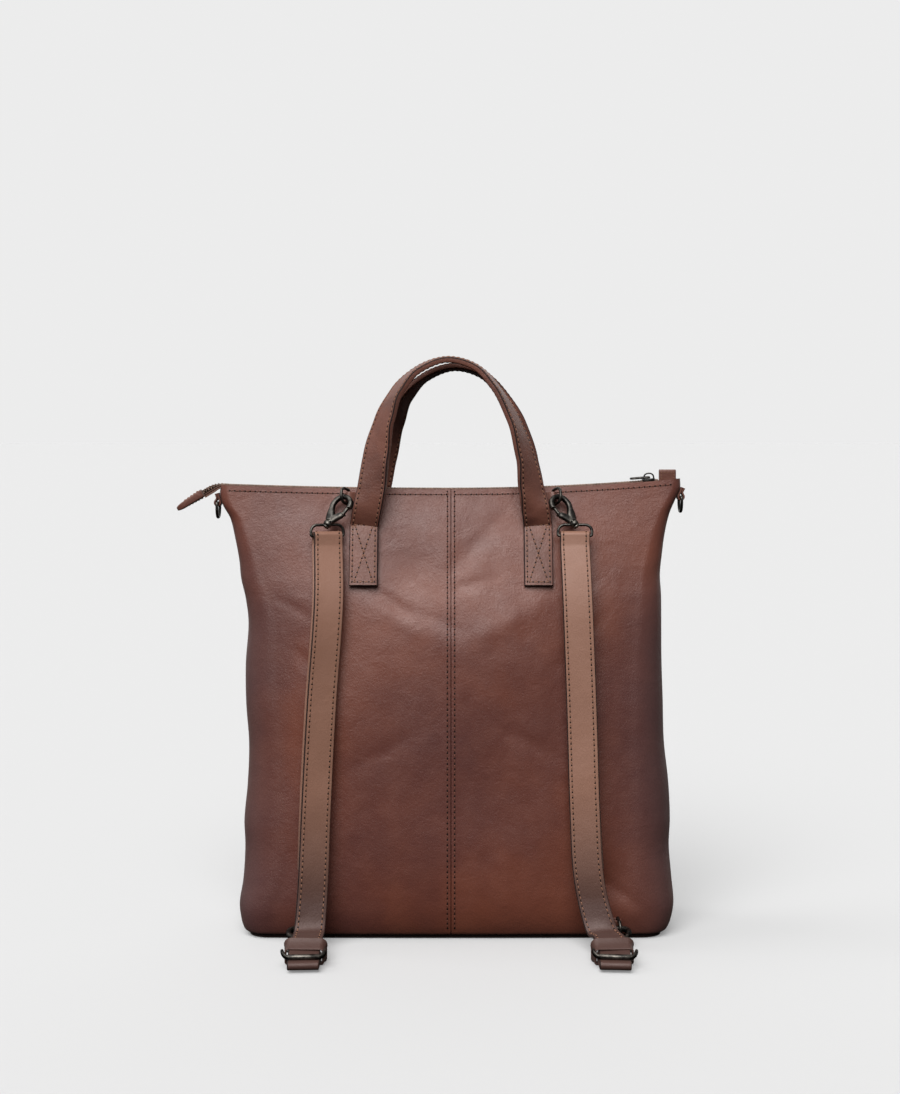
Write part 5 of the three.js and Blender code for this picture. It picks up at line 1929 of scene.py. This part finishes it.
    def _hook_body(self, node: str, frame: Frame) -> None:
        """Makes a hook's body: a rounded plate bent round its eye, open where the gate is, with its stem.

        Args:
            node: the hook's node.
            frame: its frame; across points to the gate and out along its axis.
        """
        w, wall = self.hook_half + self.hook_swell, self.hook_wall + 0.75 * self.hook_swell
        top = self.hook_length - self.hook_half
        spine: list[tuple[float, float, float, float]] = [
            (0.0, 0.3, self.neck, 1.0),
            (-1.6, 3.2, 1.1 * self.neck, 1.05),
            (-3.7, 7.0, 0.95 * self.neck, 1.1),
            (-5.6, 10.8, 0.68 * self.neck, 1.05),
            (wall / 2 - w, mix(self.eye_foot, top, 0.62), 0.54 * wall, 1.0),
        ]
        for i in range(13):
            angle = radians(180 - 15 * i)
            r = w - wall / 2
            spine.append((r * cos(angle), top + r * sin(angle), wall / 2, 1.0))
        nose = self.eye_top - self.nose
        spine.append((w - wall / 2, mix(top, nose, 0.5), wall / 2, 0.95))
        spine.append((w - wall / 2, nose, wall / 2 * 0.8, 0.75))
        points = Spline([frame.point(a, b) for a, b, _, _ in spine])
        halves = Spline([Vector((h, t, 0)) for _, _, h, t in spine])
        count = 90
        path = [points.at(i / count) for i in range(count + 1)]
        sizes = [halves.at(i / count) for i in range(count + 1)]
        maker = MeshMaker()
        limb = self.hook_thick / 2
        rows = []
        for i, f in enumerate(frames_along(path, lambda _: frame.along)):
            end = 0.6 if i in (0, count) else 1.0
            rows.append(box_ring(f, max(sizes[i].x, 0.4) * end, limb * sizes[i].y * end, 0.75, 20))
        maker.solid(rows)
        shares = (0.0, 0.3, 0.6, 0.85, 1.0)
        reach, rise = w - wall / 2 - 0.3, self.eye_foot + 1.6
        heel = [frame.point(mix(0.4, reach, share), mix(1.2, rise, share**0.85)) for share in shares]
        rows = []
        for share, f in zip(shares, frames_along(heel, lambda _: frame.along)):
            end = 0.55 if share == 1 else 1.0
            rows.append(box_ring(f, mix(self.neck * 1.05, wall / 2 + 0.3, share) * end, limb * end, 0.75, 20))
        maker.solid(rows)
        foot = -2 * self.clearance - self.boss_length
        stem = [(self.stem, 1.0), (self.stem, foot), (2.9, foot - 0.1), (2.9, foot - 0.9), (2.0, foot - 1.2)]
        turned(maker, frame, stem, 16)
        pin = Frame(frame.point(w - wall / 2 - 0.1, self.eye_foot + self.pin), frame.across, frame.along, -frame.out)
        turned(maker, pin, [(0.5, -2.45), (0.95, -2.3), (0.95, 2.3), (0.5, 2.45)], 12)
        maker.metal(self.paint, node)

    def _gate(self, node: str, frame: Frame) -> None:
        """Makes a hook's sprung gate.

        Args:
            node: the gate's node, which is its body too.
            frame: the hook's frame.
        """
        across = self.hook_half - self.hook_wall / 2 + 0.5
        foot = self.eye_foot + self.pin
        nose = self.eye_top - self.nose - self.clearance
        rows = []
        for i in range(21):
            share = i / 20
            half = self.gate / 2 * (1.25 if share < 0.14 else 1.0) * (0.7 if i in (0, 20) else 1.0)
            at = frame.point(across - 0.25 * sin(pi * share), mix(foot - 1.4, nose, share))
            rows.append(box_ring(Frame(at, frame.across, frame.along, frame.out), half, self.gate / 2, 0.7, 16))
        maker = MeshMaker()
        maker.solid(rows)
        maker.metal(self.paint, node, node)


def box_ring(frame: Frame, half: float, thick: float, power: float, sides: int) -> list[Vector]:
    """A closed row of points round a squared-off oval.

    Args:
        frame: its middle; across and out span its plane.
        half: half its width.
        thick: half its thickness.
        power: under 1 squares it off.
        sides: its number of points.

    Returns:
        The points.
    """
    row = []
    for k in range(sides):
        c, s = cos(2 * pi * k / sides), sin(2 * pi * k / sides)
        across, out = (copysign(abs(v) ** power, v) for v in (c, s))
        row.append(frame.point(half * across, thick * out))
    return row


def turned(maker: MeshMaker, frame: Frame, profile: Outline, sides: int) -> None:
    """Adds a body turned about a frame's out axis."""
    maker.solid([[frame.point(a, place, b) for a, b in circle_outline(radius, sides)] for radius, place in profile])


@dataclass(frozen=True)
class FallStation:
    """A place on a strap's way down: shares of its ring's height, of its reach and of the half width, and its turn."""

    up: float
    out: float
    left: float
    right: float
    turn_left: float
    turn_right: float


def half_turn(radius: float, share: float) -> tuple[float, float]:
    """A place on a half circle that starts at minus its radius, given as across and out."""
    return -radius * cos(pi * share), radius * sin(pi * share)


@dataclass
class Hang:
    """What a strap goes round: the middles of its bars, of the turn at its tip, and its turns in degrees."""

    side: Side
    top: Vector
    low: Vector
    low_way: Vector
    tip: Vector
    front_bar: Vector
    rear_bar: Vector
    start: float
    turn: float


@dataclass
class Straps:
    """The two shoulder straps with their keepers and buckles."""

    bag: TotePanels
    fittings: Fittings
    paint: Palette
    width: float = 24.0
    thickness: float = 2.2
    reach: float = 88.0
    ply_gap: float = 3.4
    buckle_inside: float = 30.0
    buckle_depth: float = 13.0
    buckle_corner: float = 4.2
    buckle_wire: float = 1.3
    buckle_bow: float = 5.2
    roller: float = 2.0
    keeper_width: float = 9.0
    keeper_leather: float = 1.6
    keeper_slope: float = -32.0
    keeper_flare: float = 1.5
    clearance: float = 0.3
    tip_left: float = -0.583
    tip_right: float = 0.648
    ring_lean: float = 62.0  # how far the upper D-rings stand off the leather, in degrees
    base_lean: float = 85.0  # the same for the lower ones
    stitch_inset: float = 2.9
    crown: float = 0.12
    start_left: float = 21.0
    start_right: float = -5.0
    # rows of: height and reach off the back; place across and turn in degrees, left and right
    fall: tuple[FallStation, ...] = rows_of(FallStation, (
        (0.84, 0.17, -0.518, 0.532, 18, -6),
        (0.58, 0.145, -0.545, 0.545, 19, -7),
        (0.32, 0.165, -0.565, 0.556, 18, -8),
        (0.19, 0.205, -0.57, 0.567, 13, -10),
        (0.11, 0.27, -0.573, 0.588, 9, -9),
        (0.055, 0.375, -0.579, 0.618, 6, -7),
        (0.048, 0.52, -0.582, 0.64, 4, -5),
    ))

    @property
    def ply_wrap(self) -> float:
        """Radius of the strap's middle round a ring's bar."""
        return self.fittings.wire + self.clearance + self.thickness / 2

    @property
    def floor_ply(self) -> float:
        """Height of the ply that lies on the floor."""
        return self.keeper_leather + 2 * self.clearance + self.thickness / 2

    @property
    def tip_radius(self) -> float:
        """Radius of the strap's turn at its tip."""
        return self.thickness / 2 + 0.9

    def back(self, x: float, z: float) -> float:
        """The back's own y at a place."""
        return -self.bag.depth(x, max(z, 0.03 * self.bag.height), Facing.BACK, plain=True)

    @staticmethod
    def across_at(turn: float) -> Vector:
        """The way across a strap that is turned about the upright."""
        angle = radians(turn)
        return Vector((cos(angle), sin(angle), 0))

    def column(self, station: FallStation, side: Side) -> tuple[float, float]:
        """A station's place across and its turn, for one side.

        Args:
            station: the station.
            side: which strap.

        Returns:
            The place across and the turn.
        """
        if side is Side.LEFT:
            return station.left * self.bag.half_width, station.turn_left
        return station.right * self.bag.half_width, station.turn_right

    def build(self) -> None:
        """Makes both straps with the fittings at their ends."""
        kit = self.fittings
        for side in Side:
            s = side.value
            high = self.bag.height - kit.ring_drop
            upper = kit.back_ring("strap_ring", s * kit.ring_across, high, side, self.ring_lean)
            seat = upper.bar + upper.way * (0.66 * kit.ring_depth) - upper.up * (kit.inside / 2 + kit.wire)
            axis = Vector((-s * 0.56, 0.34, 0.76)).normalized()
            start = self.start_left if side is Side.LEFT else self.start_right
            ring_axis = square_to(Vector((-s * 0.3, 0.25, 0.92)), self.across_at(start))
            top = kit.hook("upper_hook", side, seat, axis, upper.way * -s, ring_axis, self.across_at(start))

            tip_x = (self.tip_left if side is Side.LEFT else self.tip_right) * self.bag.half_width
            tip = Vector((tip_x, self.back(tip_x, 0) - self.reach + self.tip_radius + self.thickness / 2, 0))
            tip.z = self.floor_ply + self.tip_radius
            turn = self.column(self.fall[-1], side)[1]
            front_bar = Vector((tip_x, tip.y + self.roller + self.thickness, 0))
            front_bar.z = tip.z + self.tip_radius + self.thickness / 2 + self.clearance + self.roller
            inward = UP.cross(self.across_at(turn))
            rear_bar = front_bar + inward * self.buckle_depth
            rear_bar.z = self.floor_ply + self.thickness / 2 + 2 * self.clearance + self.buckle_wire

            lower = kit.back_ring("base_ring", tip_x + s * kit.base_outward, kit.base_height, side, self.base_lean)
            low_seat = lower.bar + lower.way * kit.ring_depth
            reach = kit.seat - kit.ring_head + kit.swivel_height
            climb = (low_seat.z - self.floor_ply - self.ply_wrap) / reach
            sideways = s * kit.base_outward / reach
            low_axis = Vector((sideways, sqrt(1 - climb**2 - sideways**2), climb))
            low = kit.hook("lower_hook", side, low_seat, low_axis, UP, low_axis, low_axis.cross(UP))
            hang = Hang(side, top[0], *low, tip, front_bar, rear_bar, start, turn)
            self._buckle(hang)
            self._strap(hang)

    def _buckle(self, hang: Hang) -> None:
        """Makes a strap's buckle, with the roller on its front bar.

        Args:
            hang: what the strap goes round.
        """
        along = (hang.front_bar - hang.rear_bar).normalized()
        across = square_to(self.across_at(hang.turn), along)
        frame = Frame(hang.rear_bar, across, along.cross(across), along)
        depth = (hang.front_bar - hang.rear_bar).length
        width = self.buckle_inside + 2 * self.buckle_wire
        maker = MeshMaker()
        path = loop_path(frame, width, depth, self.buckle_corner, 1.4 * self.buckle_corner, 10)
        lifted = []
        for p in path:
            share = min(1.0, max(0.0, (p - frame.at).dot(frame.along) / depth))
            lifted.append(p + frame.out * (self.buckle_bow * sin(pi * share)))
        wire_loop(maker, frame, lifted, self.buckle_wire, 14)
        half = width / 2 - self.buckle_corner
        roller = Frame(hang.front_bar, along, across, frame.out)
        shape = [(1.5, -1.0), (self.roller, -0.95), (self.roller, 0.95), (1.5, 1.0)]
        turned(maker, roller, [(r, s * half) for r, s in shape], 20)
        node = f"strap_buckle_{hang.side.label}"
        maker.metal(self.paint, node)

    def _strap(self, hang: Hang) -> None:
        """Makes a strap: rear ply, turn over the upper ring, front ply, tip, floor ply and turn round the lower ring.

        Args:
            hang: what it goes round.
        """
        top, tip, start = hang.top, hang.tip, hang.start
        rows = [(top - UP * (3 * self.thickness), start)]
        for station in self.fall:
            x, turn = self.column(station, hang.side)
            z = max(station.up * top.z, self.floor_ply + 2 * self.thickness)
            rows.append((Vector((x, self.back(x, z) - station.out * self.reach, z)), turn))
        half_gap = (self.ply_gap + self.thickness) / 2

        def ply(count: int, sign: float, closing: bool) -> list[Vector]:
            """The knots of the front or rear ply."""
            made = []
            for i, (at, turn) in enumerate(rows[:count]):
                out = self.across_at(turn).cross(UP)
                spread = self.ply_wrap if i == 0 else half_gap
                made.append(at + out * (sign * (0.0 if closing and i > 4 else spread)))
            return made

        front = ply(len(rows), 1.0, True)
        rear = ply(5, -1.0, False)
        start_out = self.across_at(start).cross(UP)
        over_ring = Frame(top, start_out, UP, UP.cross(start_out))
        wrap = [over_ring.point(*half_turn(self.ply_wrap, i / 16)) for i in range(17)]
        clear = self.thickness / 2 + 2 * self.clearance
        over = hang.rear_bar + UP * (self.buckle_wire + clear)
        under = hang.front_bar.copy()
        under.z += self.clearance - self.roller - clear
        rear_path = Spline(list(reversed(rear))).spaced(70)
        front_path = Spline([*front, over, under]).spaced(150)
        round_tip = Frame(tip, -UP, Vector((0, -1, 0)), Vector((1, 0, 0)))
        tip_turn = [round_tip.point(*half_turn(self.tip_radius, i / 12)) for i in range(13)]
        bar, bar_way = hang.low, hang.low_way
        floor_run = [
            Vector((tip.x, mix(tip.y + 2, bar.y - 3 * self.ply_wrap, i / 10), self.floor_ply)) for i in range(11)
        ]
        low_out = bar_way.cross(UP) * (1 if bar_way.x > 0 else -1)
        low_wrap = []
        for i in range(22):
            angle = pi * (i / 3 - 0.5) / 6
            low_wrap.append(bar - low_out * (self.ply_wrap * sin(angle)) - UP * (self.ply_wrap * cos(angle)))
        points = [*rear_path, *wrap[1:-1], *front_path, *tip_turn[1:-1], *floor_run, *low_wrap]
        flat_from = len(rear_path) + 15 + len(front_path)
        bar_turn = degrees(atan2(bar_way.y, bar_way.x))
        knots = [(top.z, start), *((at.z, turn) for at, turn in rows[1:])]

        def turn_at(z: float) -> float:
            """The hanging strap's turn at a height, in degrees."""
            for (high, a), (lower, b) in zip(knots, knots[1:]):
                if z >= lower:
                    return mix(b, a, min(1.0, max(0.0, (z - lower) / (high - lower))))
            return knots[-1][1]

        total = len(points)
        frames = []
        for i, at in enumerate(points):
            along = (points[min(total - 1, i + 1)] - points[max(0, i - 1)]).normalized()
            if i < flat_from:
                turn = turn_at(at.z)
            else:
                turn = knots[-1][1] if i < total - len(low_wrap) else bar_turn
            across = square_to(self.across_at(turn), along)
            frames.append(Frame(at, across, along.cross(across), along))
        node = f"shoulder_strap_{hang.side.label}"
        maker = MeshMaker()
        maker.sweep_strip(frames, strip_outline(self.width, self.thickness, self.crown, 12), 17)
        maker.leather([self.paint.strap, self.paint.edge], "strap_leather", node)
        self._strap_stitches(node, frames[: flat_from - 8])
        self._keeper(hang, frames[len(rear_path) + 15 : flat_from])

    def _strap_stitches(self, node: str, frames: Sequence[Frame]) -> None:
        """Makes the rows of stitches along a strap's edges, on both faces.

        Args:
            node: the strap's node.
            frames: its frames.
        """
        seam = Seam(Stitching(pitch=4.2, radius=0.44, hole=0.66))
        inset = self.width / 2 - self.stitch_inset
        for a in (-inset, inset):
            for face in (-1, 1):
                lift = self.thickness / 2 + (0.05 if face > 0 else 0.0)
                seam.sew([f.point(a, face * lift) for f in frames], [f.out * face for f in frames])
        seam.build(node, "strap_leather", self.paint.thread, self.paint.hole)

    def _keeper(self, hang: Hang, frames: Sequence[Frame]) -> None:
        """Makes the leather band round both plies above the buckle.

        Args:
            hang: what the strap goes round.
            frames: the front ply's frames.
        """
        y = hang.rear_bar.y + self.buckle_wire + self.keeper_width / 2 + 0.6
        upper = min((f for f in frames if f.at.z < 0.1 * self.bag.height), key=lambda f: abs(f.at.y - y))
        width = self.width + 2 * (self.clearance + self.keeper_leather) + 1.0
        low = self.keeper_leather / 2 + self.clearance
        across = square_to(upper.across, UP)
        high = upper.at.z + self.thickness / 2 + 3 * self.clearance + self.keeper_leather
        foot = Vector((mix(upper.at.x, hang.tip.x, 0.5), y, low))
        frame = Frame(foot, across, UP.cross(across), UP)
        path = loop_path(frame, width, high - low, self.keeper_leather, 3.5, 6)
        band = self.keeper_width + 1.6
        flat = reversed(strip_outline(band, self.keeper_leather, 0.0, 6))
        outline = [(o + self.keeper_flare * max(0.0, 0.2 + 1.6 * a / band) ** 2, a) for a, o in flat]
        maker = MeshMaker()
        slope = radians(self.keeper_slope)

        def axis(i: int) -> Vector:
            """The way across the band, which leans more the higher it is."""
            share = min(1.0, max(0.0, (path[i] - foot).dot(frame.along) / (high - low)))
            return frame.out * cos(slope * share) - frame.along * sin(slope * share)

        maker.sweep(frames_along(path, axis, True), outline, loop=True)
        maker.points = [Vector((p.x, p.y, max(p.z, self.clearance))) for p in maker.points]
        node = f"strap_keeper_{hang.side.label}"
        maker.leather([self.paint.strap], "strap_leather", node)


# The studio


@dataclass(frozen=True)
class Glow:
    """A soft bright patch of the studio's sky: where it is, how wide it is and how bright.

    Args:
        way: from the bag to its middle.
        core: half angle of its even middle, in degrees.
        rim: half angle at which it has faded out, in degrees.
        power: its brightness.
    """

    way: tuple[float, float, float]
    core: float
    rim: float
    power: float


@dataclass
class Studio:
    """The pale floor, the soft sky that lights the bag, and the camera."""

    distance: float = 1450.0
    eye_height: float = 400.0
    focal_px: float = 1747.0
    frame_width: float = 900.0
    frame_height: float = 1094.0
    horizon: float = 441.0
    centre: float = 451.0
    backdrop: float = 0.84
    ambient: float = 0.13
    floor_glow: float = 0.215
    floor_albedo: float = 0.4
    glows: tuple[Glow, ...] = rows_of(Glow, (
        ((-0.16, -0.66, 0.74), 10, 31, 9.0),
        ((-0.95, -0.1, 0.3), 10, 40, 0.55),
        ((0.9, -0.35, 0.25), 8, 34, 0.3),
        ((0.05, -1.0, 0.28), 4, 24, 0.2),
        ((-0.55, 0.05, 0.85), 6, 16, 5.0),
        ((0.0, 0.3, 1.0), 20, 50, 0.3),
    ))

    def build(self) -> None:
        """Makes the floor, the sky and the camera."""
        self._floor()
        self._sky()
        self._camera()

    def _floor(self) -> None:
        """Makes the floor, which reaches the horizon and glows a little, so that shadows on it stay faint."""
        mesh = bpy.data.meshes.new("studio_floor")
        far, near = 300.0, 3.0
        places = (-far, -near, near, far)
        points = [(x, y, 0.0) for y in places for x in places]
        faces = [(4 * j + i, 4 * j + i + 1, 4 * j + i + 5, 4 * j + i + 4) for j in range(3) for i in range(3)]
        mesh.from_pydata(points, [], faces)
        mat, _, shader = new_material("Studio paper")
        albedo = (self.floor_albedo,) * 3 + (1,)
        set_inputs(shader, {"Base Color": albedo, "Roughness": 0.95, "Specular IOR Level": 0.0})
        set_inputs(shader, {"Emission Color": (1, 1, 1, 1), "Emission Strength": self.floor_glow})
        mesh.materials.append(mat)
        floor = bpy.data.objects.new("studio_floor", mesh)
        floor.visible_diffuse = False
        floor.visible_glossy = False
        bpy.context.scene.collection.objects.link(floor)
        floor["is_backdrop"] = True

    def _sky(self) -> None:
        """Makes the sky: an even backdrop behind the bag and soft glows above and beside the camera."""
        group = GroupBuilder("Studio sky", {}, ("Color",))
        way = group.node("ShaderNodeTexCoord", {}).outputs["Generated"]

        def towards(aim: Sequence[float], low: float, high: float) -> Socket:
            """How near the view's way is to an aim, from the low cosine to the high one."""
            dot = group.node("ShaderNodeVectorMath", {0: way, 1: Vector(aim).normalized()}, operation="DOT_PRODUCT")
            links = {"Value": dot.outputs["Value"], "From Min": low, "From Max": high}
            return group.node("ShaderNodeMapRange", links, interpolation_type="SMOOTHSTEP").outputs["Result"]

        total = group.times(towards((0, 0, 1), -0.5, 0.4), self.ambient)
        for glow in self.glows:
            share = towards(glow.way, cos(radians(glow.rim)), cos(radians(glow.core)))
            total = group.math("ADD", total, group.times(share, glow.power))
        behind = group.times(towards((0, 1, 0), 0.45, 0.75), towards((0, 0, 1), -0.05, -0.02))
        kept = group.times(total, group.math("SUBTRACT", 1.0, behind))
        total = group.math("ADD", kept, group.times(behind, self.backdrop))
        color = group.node("ShaderNodeCombineColor", {0: total, 1: total, 2: total}).outputs[0]
        world = bpy.data.worlds.new("studio sky")
        world.use_nodes = True
        sky = world.node_tree.nodes.new("ShaderNodeGroup")
        sky.node_tree = group.finish(Color=color)
        world.node_tree.links.new(sky.outputs["Color"], world.node_tree.nodes["Background"].inputs["Color"])
        bpy.context.scene.world = world
        bpy.context.scene.view_settings.view_transform = "Standard"

    def _camera(self) -> None:
        """Makes the camera at the photograph's place: level, with the horizon above the picture's middle."""
        data = bpy.data.cameras.new("camera")
        data.sensor_fit = "VERTICAL"
        data.sensor_height = 36.0
        data.lens = self.focal_px * 36.0 / self.frame_height
        data.clip_end = 1000.0
        data.shift_x = (self.frame_width / 2 - self.centre) / self.frame_height
        data.shift_y = (self.horizon - self.frame_height / 2) / self.frame_height
        camera = bpy.data.objects.new("camera", data)
        camera.location = (0.0, -self.distance * MM, self.eye_height * MM)
        camera.rotation_euler = (radians(90), 0.0, 0.0)
        bpy.context.scene.collection.objects.link(camera)
        bpy.context.scene.camera = camera


def write_sizes(before: object, after: object) -> None:
    """Puts the frame's box and the dressed part's box into plain lists; the result is not kept.

    Args:
        before: the box straight after loading.
        after: the box at the end.
    """

    def plain(value: object) -> object:
        """Numbers in plain lists."""
        if hasattr(value, "__len__") and not isinstance(value, str):
            return [plain(v) for v in value]
        return float(value)

    {"frame": plain(before), "dressed": plain(after)}


def main() -> None:
    """Builds the dressed part round its frame."""
    logging.basicConfig(level=logging.INFO, format="%(message)s")
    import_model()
    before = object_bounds()
    paint = Palette()
    Studio().build()
    bag = TotePanels(paint)
    bag.build()
    Zip(bag, paint).build()
    Handles(bag, paint).build()
    fittings = Fittings(bag, paint)
    for side in Side:
        fittings.side_ring(side)
    Straps(bag, fittings, paint).build()
    write_sizes(before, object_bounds())


if __name__ == "__main__":
    main()
